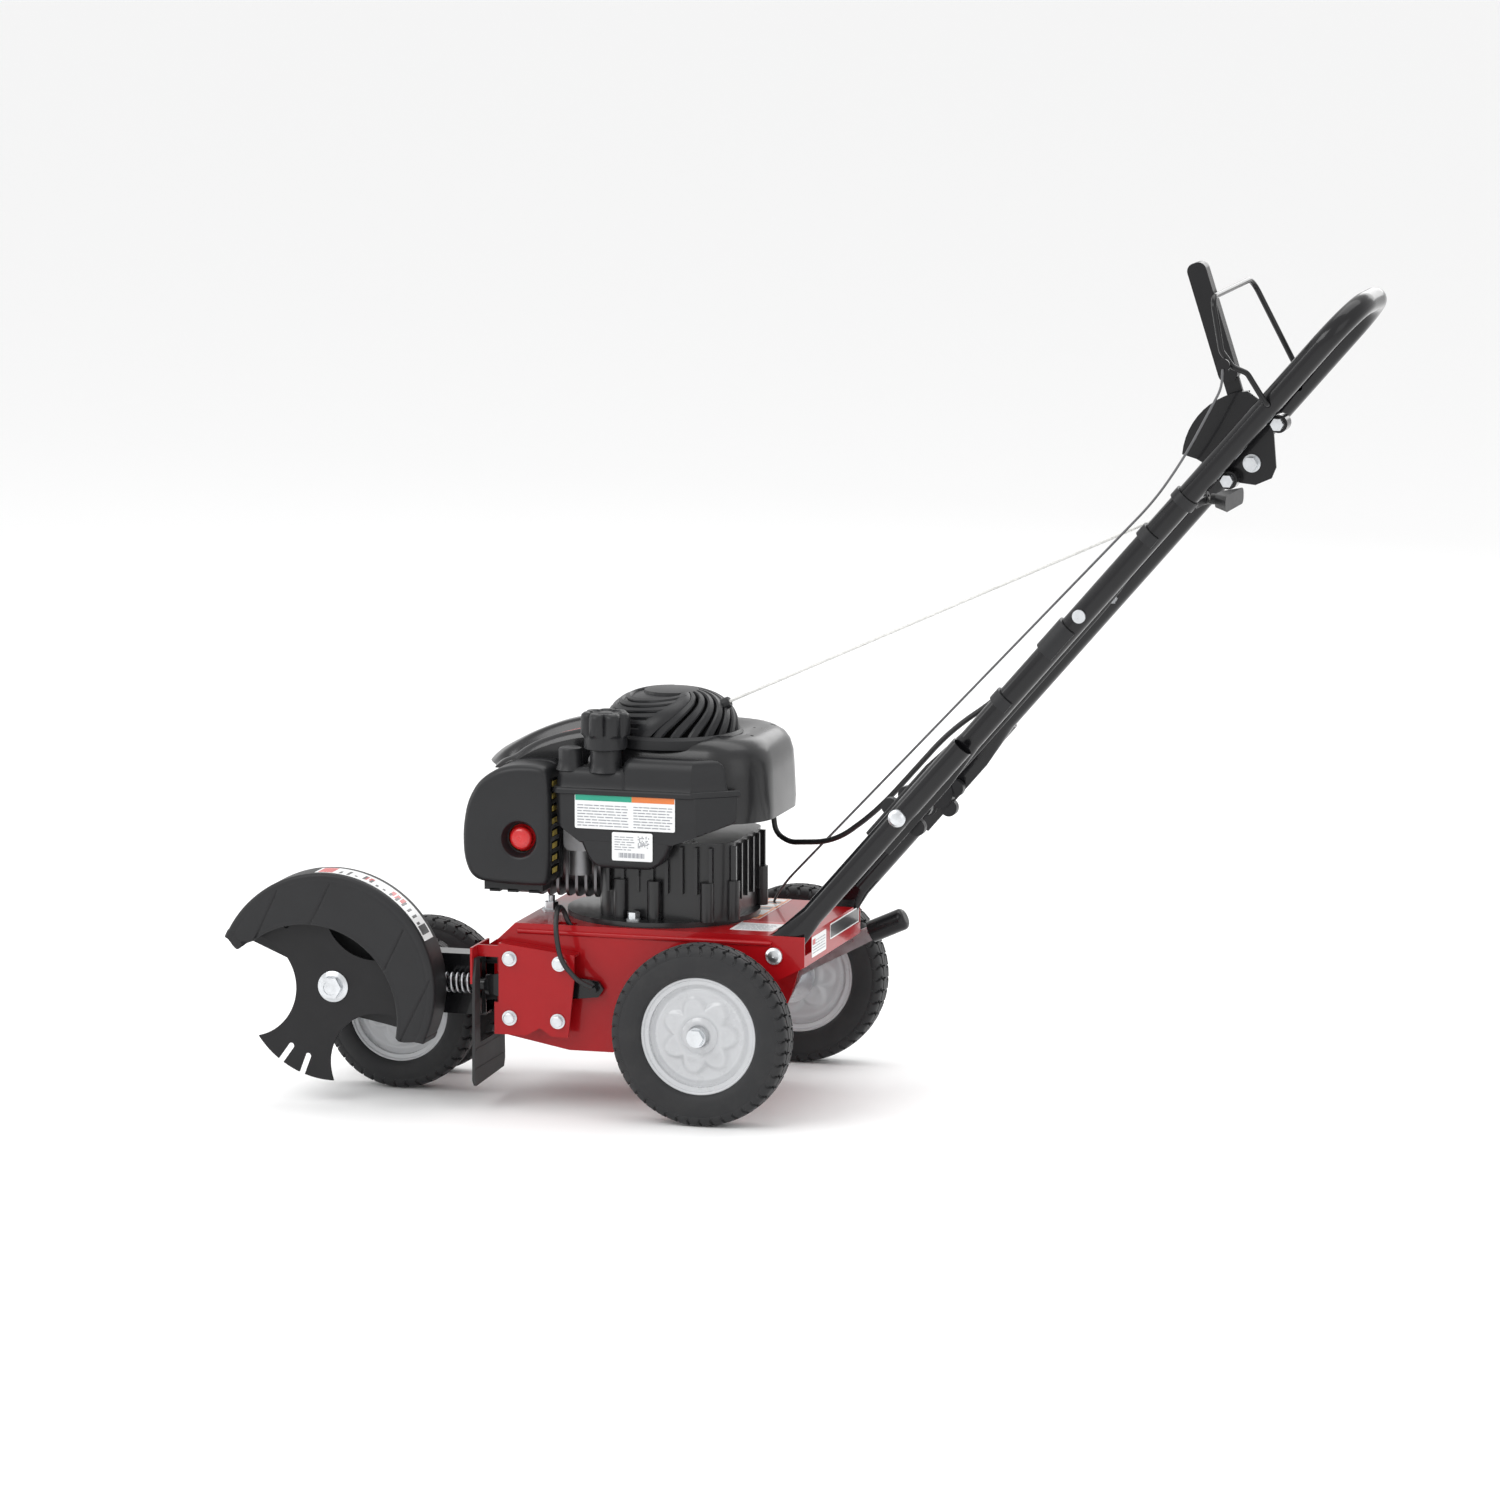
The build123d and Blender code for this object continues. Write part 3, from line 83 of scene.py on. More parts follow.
def material(name, color, rough=0.45, metal=0.0, coat=0.0, coat_rough=0.08, spread=0.08, shade=0.12,
             mottle=0.05, grain=0.0016, bump=0.12, bump_dist=0.0003, sheen=0.0, dust=0.0,
             subsurface=0.0, specular=0.5):
    """A procedural surface: broad variation of tone and roughness over a fine bump.

    shade and spread say how far tone and roughness vary, mottle and grain how wide (in m) the broad and
    fine patterns are, and dust how strongly pale dust lies on it.
    """
    m = bpy.data.materials.new(name)
    m.use_nodes = True
    t = m.node_tree
    bsdf = t.nodes["Principled BSDF"]
    for key, value in (("Metallic", metal), ("Coat Weight", coat), ("Coat Roughness", coat_rough),
                       ("Sheen Weight", sheen), ("Specular IOR Level", specular)):
        bsdf.inputs[key].default_value = value
    if subsurface:
        bsdf.inputs["Subsurface Weight"].default_value = subsurface
        bsdf.inputs["Subsurface Radius"].default_value = SKIN_RADIUS
    at = node(t, "ShaderNodeTexCoord", -1300, 0).outputs["Object"]
    broad = node(t, "ShaderNodeTexNoise", -1000, 300, Scale=1 / mottle, Detail=5.0, Roughness=0.6)
    fine = node(t, "ShaderNodeTexNoise", -1000, -100, Scale=1 / grain, Detail=3.0, Roughness=0.55)
    link(t, at, broad.inputs["Vector"])
    link(t, at, fine.inputs["Vector"])
    dark = [c * (1 - shade) for c in color]
    light = [min(1.0, c * (1 + shade)) for c in color]
    ramp = node(t, "ShaderNodeValToRGB", -700, 300)
    ramp.color_ramp.elements[0].position = 0.3
    ramp.color_ramp.elements[1].position = 0.7
    ramp.color_ramp.elements[0].color = (*dark, 1)
    ramp.color_ramp.elements[1].color = (*light, 1)
    link(t, broad.outputs["Fac"], ramp.inputs["Fac"])
    base = ramp.outputs["Color"]
    if dust:
        up = node(t, "ShaderNodeTexNoise", -1000, 600, Scale=28.0, Detail=8.0, Roughness=0.7)
        link(t, at, up.inputs["Vector"])
        amount = node(t, "ShaderNodeMapRange", -700, 600,
                      **{"From Min": 0.48, "From Max": 0.72, "To Min": 0.0, "To Max": dust})
        link(t, up.outputs["Fac"], amount.inputs["Value"])
        mix = node(t, "ShaderNodeMix", -350, 400, data_type="RGBA")
        for socket in mix.inputs:
            if socket.name == "B" and socket.type == "RGBA":
                socket.default_value = DUST_COLOR
            if socket.name == "A" and socket.type == "RGBA":
                link(t, base, socket)
        link(t, amount.outputs["Result"], mix.inputs["Factor"])
        base = [s for s in mix.outputs if s.type == "RGBA"][0]
    link(t, base, bsdf.inputs["Base Color"])
    rough_map = node(t, "ShaderNodeMapRange", -500, -50,
                     **{"To Min": max(0.02, rough - spread), "To Max": min(1.0, rough + spread)})
    link(t, broad.outputs["Fac"], rough_map.inputs["Value"])
    link(t, rough_map.outputs["Result"], bsdf.inputs["Roughness"])
    if bump:
        b = node(t, "ShaderNodeBump", -500, -350, Strength=bump, Distance=bump_dist)
        link(t, fine.outputs["Fac"], b.inputs["Height"])
        link(t, b.outputs["Normal"], bsdf.inputs["Normal"])
    return m


DARK_PLASTIC = (0.0125, 0.0128, 0.0142)
PRINT = dict(rough=0.35, coat=0.3, bump=0.02)
LOOKS = {
    "red_paint": dict(color=(0.34, 0.004, 0.007), rough=0.3, coat=0.32, coat_rough=0.05, specular=0.14,
        shade=0.05, grain=0.0022, bump=0.05, bump_dist=0.0004, spread=0.04),
    "black_paint": dict(color=(0.007, 0.007, 0.008), rough=0.22, coat=0.3, coat_rough=0.05,
        specular=0.22, grain=0.002, bump=0.06),
    "zinc": dict(color=(0.66, 0.68, 0.70), rough=0.3, metal=1.0, mottle=0.012, grain=0.0008,
        bump_dist=0.0001, spread=0.1),
    "steel": dict(color=(0.45, 0.45, 0.44), rough=0.36, metal=1.0, mottle=0.02, grain=0.0008, bump=0.1),
    "rubber": dict(color=(0.018, 0.018, 0.019), rough=0.62, grain=0.0012, bump=0.2, dust=0.02),
    "grip_rubber": dict(color=(0.008, 0.008, 0.009), rough=0.26, specular=0.32, grain=0.002, bump=0.05),
    "tyre": dict(color=DARK_PLASTIC, rough=0.62, specular=0.42, spread=0.1, grain=0.0009, bump=0.25,
        sheen=0.08, dust=0.025),
    "rim_grey": dict(color=(0.50, 0.51, 0.525), rough=0.28, coat=0.6, coat_rough=0.1, shade=0.03,
        grain=0.003, bump=0.06, spread=0.05),
    "black_plastic": dict(color=DARK_PLASTIC, rough=0.4, specular=0.36, grain=0.0006, bump=0.32,
        bump_dist=0.00015, shade=0.1),
    "guard_plastic": dict(color=(0.0125, 0.0127, 0.0140), rough=0.48, specular=0.36, grain=0.0008,
        bump=0.16, shade=0.16, mottle=0.07),
    "engine_black": dict(color=(0.0105, 0.0105, 0.0115), rough=0.3, coat=0.25, coat_rough=0.14,
        specular=0.36, grain=0.0012, bump=0.2),
    "cast_aluminium": dict(color=(0.30, 0.30, 0.31), rough=0.5, metal=1.0, grain=0.0012, bump=0.4),
    "ceramic_plug": dict(color=(0.02, 0.02, 0.021), rough=0.4),
    "muffler_steel": dict(color=(0.045, 0.044, 0.044), rough=0.55, metal=0.6, grain=0.0015, bump=0.2),
    "filter_foam": dict(color=(0.36, 0.27, 0.05), rough=0.9, mottle=0.004, shade=0.35, grain=0.0012,
        bump=0.8, bump_dist=0.001),
    "primer_red": dict(color=(0.56, 0.010, 0.012), rough=0.28, coat=0.4, subsurface=0.2, grain=0.004,
        bump=0.04),
    "belt_rubber": dict(color=(0.018, 0.018, 0.019), rough=0.8, grain=0.0006, bump=0.5),
    "rope": dict(color=(0.72, 0.72, 0.70), rough=0.8, mottle=0.004, grain=0.0007, bump=0.6, sheen=0.2),
    "cable_grey": dict(color=(0.10, 0.10, 0.105), rough=0.4),
    "cable_black": dict(color=(0.011, 0.011, 0.012), rough=0.4),
    "blade_steel": dict(color=(0.010, 0.0098, 0.0108), rough=0.42, specular=0.3, shade=0.2, grain=0.001),
    # painted shade: near-black colour for the shadowed insides of the inlet dome and of slots
    "void": dict(color=(0.002, 0.002, 0.002), rough=0.9, bump=0.0, specular=0.1),
    "hood_gloss": dict(color=(0.010, 0.010, 0.011), rough=0.24, coat=0.3, coat_rough=0.1, specular=0.36,
        grain=0.001, bump=0.08),
    "badge_red": dict(color=(0.45, 0.01, 0.014), rough=0.3, coat=0.5),
    "sticker_green": dict(color=(0.0, 0.30, 0.19), **PRINT),
    "sticker_orange": dict(color=(0.66, 0.17, 0.03), **PRINT),
    "sticker_grey": dict(color=(0.28, 0.29, 0.32), rough=0.4, bump=0.02),
    "sticker_red": dict(color=(0.50, 0.03, 0.03), **PRINT),
    "sticker_black": dict(color=(0.02, 0.02, 0.022), **PRINT),
    "white_vinyl": dict(color=(0.78, 0.79, 0.79), shade=0.02, **PRINT),
}
M = {name: material(name, **look) for name, look in LOOKS.items()}


def paint(obj, name):
    if not obj.material_slots:
        obj.data.materials.append(M[name])
    for s in obj.material_slots:
        s.material = M[name]


for name, obj in frame["nodes"].items():
    paint(obj, SLOT_OF[name])


# --- stage, light and camera ---
LENS = 260.64  # long lens, in mm on a 36 mm sensor
FLOOR_SIZE = 30  # half the floor's width


def area(name, size, energy, at, to):
    """A soft lamp at one point that faces another."""
    light = bpy.data.lights.new(name, "AREA")
    light.shape = "RECTANGLE"
    light.size, light.size_y = size
    light.energy = energy
    obj = bpy.data.objects.new(name, light)
    bpy.context.scene.collection.objects.link(obj)
    obj.location = at
    obj.rotation_euler = (Vector(to) - Vector(at)).to_track_quat("-Z", "Y").to_euler()


def studio():
    world = bpy.data.worlds.new("studio")
    bpy.context.scene.world = world
    world.use_nodes = True
    background = world.node_tree.nodes["Background"]
    background.inputs["Color"].default_value = (1.0, 1.0, 1.0, 1)
    background.inputs["Strength"].default_value = 0.96
    mesh = bpy.data.meshes.new("floor")
    f = FLOOR_SIZE
    mesh.from_pydata([(-f, -f, 0), (f, -f, 0), (f, f, 0), (-f, f, 0)], [], [(0, 1, 2, 3)])
    floor = bpy.data.objects.new("floor", mesh)
    bpy.context.scene.collection.objects.link(floor)
    white = material("floor_white", (0.95, 0.95, 0.95), rough=0.7, bump=0.0, shade=0.0, spread=0.02)
    mesh.materials.append(white)
    area("key", (2.4, 1.6), 46, (-1.8, -2.8, 2.9), (0, 0, 0.35))
    area("fill", (2.2, 2.2), 10, (3.2, -2.6, 1.6), (0.1, 0, 0.4))
    area("top", (3.0, 2.0), 34, (0.2, 0.5, 3.4), (0, 0, 0.3))
    area("back", (2.6, 1.6), 26, (0.8, 3.2, 2.0), (0, 0, 0.4))
    area("left", (0.9, 1.8), 14, (-3.4, -0.6, 1.2), (-0.2, 0, 0.3))


def camera():
    data = bpy.data.cameras.new("camera")
    data.lens = LENS
    data.sensor_width = 36
    data.clip_end = 100
    obj = bpy.data.objects.new("camera", data)
    bpy.context.scene.collection.objects.link(obj)
    at, to = Vector((AXLE_X + 3.35998, -11.49884, 2.35053)), Vector((AXLE_X + 0.03625, -0.13256, 0.41129))
    obj.location = at
    obj.rotation_euler = (to - at).to_track_quat("-Z", "Y").to_euler()
    bpy.context.scene.camera = obj
    bpy.context.scene.view_settings.view_transform = "Standard"


# --- building helpers ---
def middle(name):
    lo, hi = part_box(name)
    return (Vector(lo) + Vector(hi)) / 2


AXLE_X = middle("rim_rear_near").x  # the rear axle; the machine's own zero along X
MM = 0.001


def at(x, y, z):
    """A point given in millimetres from the rear axle, the wheels' middle and the ground."""
    return Vector((AXLE_X + x * MM, y * MM, z * MM))


def piece(name, verts, faces, mat, body, slot=None, stands_for=(), sharp=35, bevel=0.0):
    """A finished mesh. It rides one body when given its name; otherwise it stays fixed where it is built."""
    mesh = bpy.data.meshes.new(name)
    mesh.from_pydata([tuple(v) for v in verts], [], faces)
    mesh.validate()
    mesh.shade_smooth()
    mesh.set_sharp_from_angle(angle=radians(sharp))
    obj = bpy.data.objects.new(name, mesh)
    bpy.context.scene.collection.objects.link(obj)
    mesh.materials.append(M[mat])
    if bevel:
        mod = obj.modifiers.new("bevel", "BEVEL")
        mod.width = bevel
        mod.segments = 3
        mod.limit_method = "ANGLE"
        mod.angle_limit = radians(40)
        mod.harden_normals = True
    if isinstance(body, str):
        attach(obj, body)
    else:
        tuple(body[2])
        tuple(body[3])
        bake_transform(obj)
    if (slot or mat) in SLOTS:
        slot or mat
    if stands_for:
        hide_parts(*([stands_for] if isinstance(stands_for, str) else stands_for))
    return obj


class Shape:
    """Collects several closed meshes into one piece."""

    def __init__(self):
        self.verts, self.faces = [], []

    def add(self, verts, faces):
        base = len(self.verts)
        self.verts += [Vector(v) for v in verts]
        self.faces += [tuple(i + base for i in f) for f in faces]

    def grid(self, rows, join_rows=False, join_cols=False, flip=False):
        base = len(self.verts)
        n, m = len(rows), len(rows[0])
        for row in rows:
            self.verts += [Vector(v) for v in row]
        for i in range(n if join_rows else n - 1):
            for j in range(m if join_cols else m - 1):
                a, b = base + i * m + j, base + i * m + (j + 1) % m
                c, d = base + (i + 1) % n * m + (j + 1) % m, base + (i + 1) % n * m + j
                self.faces.append((a, d, c, b) if flip else (a, b, c, d))

    def cap(self, ring, flip=False):
        base = len(self.verts)
        self.verts += [Vector(v) for v in ring]
        order = range(len(ring)) if not flip else reversed(range(len(ring)))
        self.faces.append(tuple(base + i for i in order))

    def loft(self, rows, flip=False):
        """A closed skin through rings of points, with a face at each end."""
        self.grid(rows, join_cols=True, flip=flip)
        self.cap(rows[0], flip=not flip)
        self.cap(rows[-1], flip=flip)

    def prism(self, outline, place, depth):
        """outline: 2-D points; place(u, v, w) gives the 3-D point; w runs from 0 to depth."""
        lower = [place(u, v, 0.0) for u, v in outline]
        upper = [place(u, v, depth) for u, v in outline]
        n = len(outline)
        faces = [(i, (i + 1) % n, n + (i + 1) % n, n + i) for i in range(n)]
        self.add(lower + upper, faces + [tuple(reversed(range(n))), tuple(range(n, 2 * n))])

    def tube(self, points, radius, sides=12):
        """A round bar through points, its rings kept from twisting."""
        points = [Vector(p) for p in points]
        tangents = [(points[min(i + 1, len(points) - 1)] - points[max(i - 1, 0)]).normalized()
                    for i in range(len(points))]
        side = tangents[0].orthogonal().normalized()
        rows = []
        for p, t in zip(points, tangents):
            side = (side - t * side.dot(t)).normalized()
            up = t.cross(side)
            rows.append([p + (side * cos(a) + up * sin(a)) * radius for a in turns(sides)])
        self.loft(rows)

    def make(self, name, mat, body, **kw):
        return piece(name, self.verts, self.faces, mat, body, **kw)


def fillet_path(points, radii, step=0.006):
    """Straight runs joined by tangent arcs, as a list of points."""
    points = [Vector(p) for p in points]
    out = [points[0]]
    for i in range(1, len(points) - 1):
        a, b, c = points[i - 1], points[i], points[i + 1]
        u, v = (a - b).normalized(), (c - b).normalized()
        angle = acos(max(-1, min(1, u.dot(v))))
        r = radii[i - 1]
        cut = r / tan(angle / 2)
        start, end = b + u * cut, b + v * cut
        centre = b + (u + v).normalized() * (r / sin(angle / 2))
        sweep = pi - angle
        count = max(3, int(r * sweep / step))
        e1 = (start - centre).normalized()
        e2 = (end - centre) - e1 * (end - centre).dot(e1)
        e2.normalize()
        for k in range(count + 1):
            t = sweep * k / count
            out.append(centre + (e1 * cos(t) + e2 * sin(t)) * r)
    out.append(points[-1])
    dense = [out[0]]
    for p in out[1:]:
        gap = (p - dense[-1]).length
        if gap < 1e-6:
            continue
        n = max(1, int(gap / (step * 3)))
        start = dense[-1]
        dense += [start.lerp(p, (k + 1) / n) for k in range(n)]
    return dense


def fair_radii(points):
    points = [Vector(p) for p in points]
    radii = []
    for a, b, c in zip(points, points[1:], points[2:]):
        turn = (b - a).angle(c - b)
        radii.append(0.45 * min((b - a).length, (c - b).length) / tan(turn / 2))
    return radii


def turns(count):
    """The angles of count even steps round a full turn."""
    return [2 * pi * k / count for k in range(count)]


def smooth(x, lo, hi):
    t = max(0.0, min(1.0, (x - lo) / (hi - lo)))
    return t * t * (3 - 2 * t)


# --- wheels ---
LUG_PITCH, TREAD_DEPTH = 0.0142, 0.0030  # along the tread and into it, in m
AXLE_BORE = 0.00645


def tyre(name):
    """Carcass with a bead, smooth walls and a zigzag block tread cut into its crown and shoulders."""
    lo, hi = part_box("tyre_" + name)
    rim_lo, rim_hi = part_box("rim_" + name)
    c = (Vector(lo) + Vector(hi)) / 2
    radius, half = (hi[2] - lo[2]) / 2, (hi[1] - lo[1]) / 2
    bead = (rim_hi[2] - rim_lo[2]) / 2 - 0.001
    lugs = round(2 * pi * radius / LUG_PITCH)
    depth = TREAD_DEPTH
    # (share of the half width, radius), and in the crown how much of a groove's depth is cut there
    wall = [(0.70, bead), (0.80, bead + 0.0008), (0.93, bead + 0.004), (0.99, bead + 0.009),
            (1.0, bead + 0.0145), (0.985, radius - 0.0155), (0.955, radius - 0.0118),
            (0.945, radius - 0.0112), (0.955, radius - 0.0104)]
    crown = [(0.95, radius - 0.0078, 0.5), (0.90, radius - 0.0046, 1.0), (0.82, radius - 0.0024, 1.0),
             (0.66, radius - 0.0011, 1.0), (0.47, radius - 0.0004, 1.0), (0.44, radius - 0.0004, 1.0),
             (0.425, radius - depth, 0.0), (0.345, radius - depth, 0.0), (0.33, radius - 0.0002, 1.0),
             (0.12, radius, 1.0)]
    side = [(y, r, 0.0) for y, r in wall] + crown
    profile = [(-y, r, w) for y, r, w in side] + [(y, r, w) for y, r, w in reversed(side)]
    cuts = (0.0, 0.02, 0.06, 0.27, 0.31, 0.5, 0.75)
    rows = []
    for y, r, w in profile:
        a = abs(y)
        lean = 0.0
        if w:
            lean = 0.55 * abs((a * 2.2) % 1.0 - 0.5) * (1 if y > 0 else -1) + (0.5 if y > 0 else 0.0)
        row = []
        for k in range(lugs):
            for f in cuts:
                groove = depth if f in (0.06, 0.27) else 0.0
                narrow = 0.55 if a < 0.4 else 1.0
                t = 2 * pi * (k + f * narrow + lean) / lugs
                rr = r - groove * w
                row.append(c + Vector((rr * cos(t), y * half, rr * sin(t))))
        rows.append(row)
    s = Shape()
    s.grid(rows, join_rows=True, join_cols=True, flip=True)
    return s.make("tyre_tread_" + name, "tyre", BODY_OF["tyre_" + name], stands_for="tyre_" + name, sharp=32)


def rim(name):
    """Two pressed dishes back to back, each with seven raised lobes round its hub."""
    lo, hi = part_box("rim_" + name)
    c = (Vector(lo) + Vector(hi)) / 2
    tlo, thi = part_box("tyre_" + name)
    c.y = (tlo[1] + thi[1]) / 2
    # the section is drawn for a rim of 66.4 mm radius in a tyre 44 mm wide, and scaled to this wheel
    k, h = (hi[2] - lo[2]) / 2 / 0.0664, (thi[1] - tlo[1]) / 2 / 0.022
    face = [(66.3, 14.6), (66.4, 15.6), (65.7, 16.4), (64.4, 16.6), (63.2, 15.8), (62.4, 14.0), (61.6, 11.6),
            (60.4, 9.6), (58.4, 8.6), (55.5, 8.3), (53, 8.6), (51.5, 9.4), (50, 9.9), (48, 9.6), (46, 8.8),
            (43.5, 8.2), (41, 8.0), (38, 8.0), (35, 8.2), (32, 8.5), (29, 9.0), (26, 9.6), (23, 10.4),
            (20.5, 11.6), (18.5, 13.2), (17, 14.2), (14.5, 14.6), (12.5, 14.6), (11.8, 13.8), (11.6, 11.5)]
    count = 168

    def ring(r, y):
        return [c + Vector((r * cos(t), y * h * MM, r * sin(t))) for t in turns(count)]

    s = Shape()
    for side in (-1, 1):
        rows = []
        for r, y in face:
            row = []
            for t in turns(count):
                lobe = 0.5 + 0.5 * cos(7 * t)
                reach = 33 + 12.5 * lobe ** 0.55
                lift = 3.6 * (1 - smooth(r, reach - 4.5, reach + 1.5)) * smooth(r, 19.5, 25)
                lift -= 1.5 * (1 - smooth(r, reach - 12, reach - 6)) * smooth(r, 25, 29) * lobe
                rr = r * k * MM if r > 12 else r * MM
                row.append(c + Vector((rr * cos(t), side * (y + lift) * h * MM, rr * sin(t))))
            rows.append(row)
        rows.append(ring(AXLE_BORE, side * 11.5))
        s.grid(rows, join_cols=True, flip=side > 0)
    well = ((66.3, -14.6), (58.0, -14.0), (57.6, -9.0), (57.6, 9.0), (58.0, 14.0), (66.3, 14.6))
    s.grid([ring(r * k * MM, y) for r, y in well], join_cols=True, flip=True)
    s.grid([ring(AXLE_BORE, y) for y in (-11.5, 11.5)], join_cols=True)
    return s.make("rim_dish_" + name, "rim_grey", BODY_OF["rim_" + name], stands_for="rim_" + name, sharp=50)


for wheel in ("rear_near", "rear_far", "front_near", "front_far"):
    tyre(wheel)
    rim(wheel)


# --- engine ---
DOME = (-83.0, -36.0, 408.0, 75.8, 53.8)  # centre X, Y, base Z, radius, height in mm
TOP_SLOPE = 0.055  # fall of the blower cover's top behind the dome


def dome_point(az, e, lift=0.0):
    """A point on the full-bellied inlet dome: az in degrees from +X, e from 0 at the base to 1 at the top."""
    cx, cy, cz, r, h = DOME
    a, t = radians(az), e * pi / 2
    out, up = abs(cos(t)) ** 0.78, abs(sin(t)) ** 0.78 * (1 if t >= 0 else -1)
    slope_out, slope_up = out ** 1.56 / r, abs(up) ** 1.56 / h * (1 if t >= 0 else -1)
    n = Vector((slope_out * cos(a), slope_out * sin(a), slope_up)).normalized()
    p = Vector((cx + r * out * cos(a), cy + r * out * sin(a), cz + h * up))
    p += n * lift
    return at(*p), n


def bar_on(shape, path, width, depth):
    """A strip that follows (point, normal) pairs, with a crowned outer face."""
    rows = []
    for i, (p, n) in enumerate(path):
        a, b = path[max(i - 1, 0)][0], path[min(i + 1, len(path) - 1)][0]
        side = (b - a).normalized().cross(n).normalized()
        w = width(i / (len(path) - 1)) if callable(width) else width
        w *= MM / 2
        d = depth * MM
        rows.append([p + side * w - n * d, p + side * w - n * d * 0.3, p + side * w * 0.6, p - side * w * 0.6,
                     p - side * w - n * d * 0.3, p - side * w - n * d])
    shape.loft(rows)


def inlet_dome():
    body = BODY_OF["dome_grille"]
    # a near-black sheet of painted shade inside the dome, seen through the louvres where the inside lies in
    # shadow
    dark = Shape()
    rows = [[dome_point(az, e, -7.0)[0] for az in range(0, 360, 10)] for e in (0.0, 0.2, 0.4, 0.6, 0.8, 0.97)]
    dark.grid(rows, join_cols=True)
    dark.cap(rows[-1])
    dark.cap(rows[0], flip=True)
    dark.make("inlet_shade_sheet", "void", body, slot="black_plastic")
    s = Shape()

    def swirl(e):
        """How far round a louvre has turned by the time it reaches e, in degrees."""
        return 62.0 * (max(0.0, e) / 0.82) ** 1.2

    # louvres round the rear: bars that sweep up from the base to the crown
    for k in range(13):
        path = []
        for i in range(19):
            e = 0.02 + 0.80 * i / 18
            path.append(dome_point(-104 + 15.5 * k + swirl(e), e, 0.6 * sin(pi * i / 18)))
        bar_on(s, path, (lambda t: 19.0 - 6.0 * t) if k == 0 else (lambda t: 10.5 - 4.6 * t), 6.0)
    # long swept ribs round the front, one above the other
    for k in range(6):
        path = []
        e0 = 0.12 + 0.125 * k
        for i in range(25):
            t = i / 24
            start = -104 + swirl(e0)
            az = start + (-258 - start) * t
            path.append(dome_point(az, e0 * (1 - 0.20 * sin(pi * min(1, t * 1.3))), 0.4))
        bar_on(s, path, lambda t: 7.4 - 1.2 * sin(pi * t), 5.5)
    # solid crown
    rows = []
    for e in (0.78, 0.80, 0.84, 0.90, 0.96, 0.995):
        rows.append([dome_point(az, e, 0.0 if e > 0.785 else -5.0)[0] for az in range(0, 360, 6)])
    s.grid(rows, join_cols=True)
    s.cap(rows[-1])
    # backing of the front half, so only the louvres are open
    for lift, turned in ((-2.6, False), (-4.6, True)):
        rows = [[dome_point(-256 + (152 + swirl(e)) * j / 24, e, lift)[0] for j in range(25)]
                for e in (0.0, 0.1, 0.2, 0.3, 0.4, 0.5, 0.6, 0.7, 0.82)]
        s.grid(rows, flip=turned)
    # base ring
    rows = []
    for lift, e in ((4.5, -0.03), (4.5, 0.03), (1.5, 0.06), (-3.0, 0.06), (-3.0, -0.03)):
        rows.append([dome_point(az, e, lift)[0] for az in range(0, 360, 5)])
    s.grid(rows, join_rows=True, join_cols=True, flip=True)
    # eyelet that the starter rope leaves through
    start, away = Vector((-24, -36, 444.6)), Vector((0.917, -0.027, 0.40))
    u = away.orthogonal().normalized()
    v = away.cross(u)
    bore = []
    for r, d in ((2.6, 10), (5.4, 10), (6.4, 8.5), (6.8, -6), (9.5, -14), (2.6, -14)):
        c = start + away * d
        bore.append([at(*(c + (u * cos(q) + v * sin(q)) * r)) for q in turns(24)])
    s.grid(bore, join_rows=True, join_cols=True, flip=True)
    s.make("inlet_louvres", "black_plastic", body, stands_for="dome_grille", sharp=38)


def housing_section(x0, x1, y0, y1, radius, z, count=12):
    """Rounded rectangle in plan at height z; radius is the corner radius."""
    ring = []
    for cx, cy, a0 in ((x1 - radius, y1 - radius, 0), (x0 + radius, y1 - radius, 90),
                       (x0 + radius, y0 + radius, 180), (x1 - radius, y0 + radius, 270)):
        for k in range(count + 1):
            a = radians(a0 + 90 * k / count)
            ring.append((cx + radius * cos(a), cy + radius * sin(a), z))
    return ring


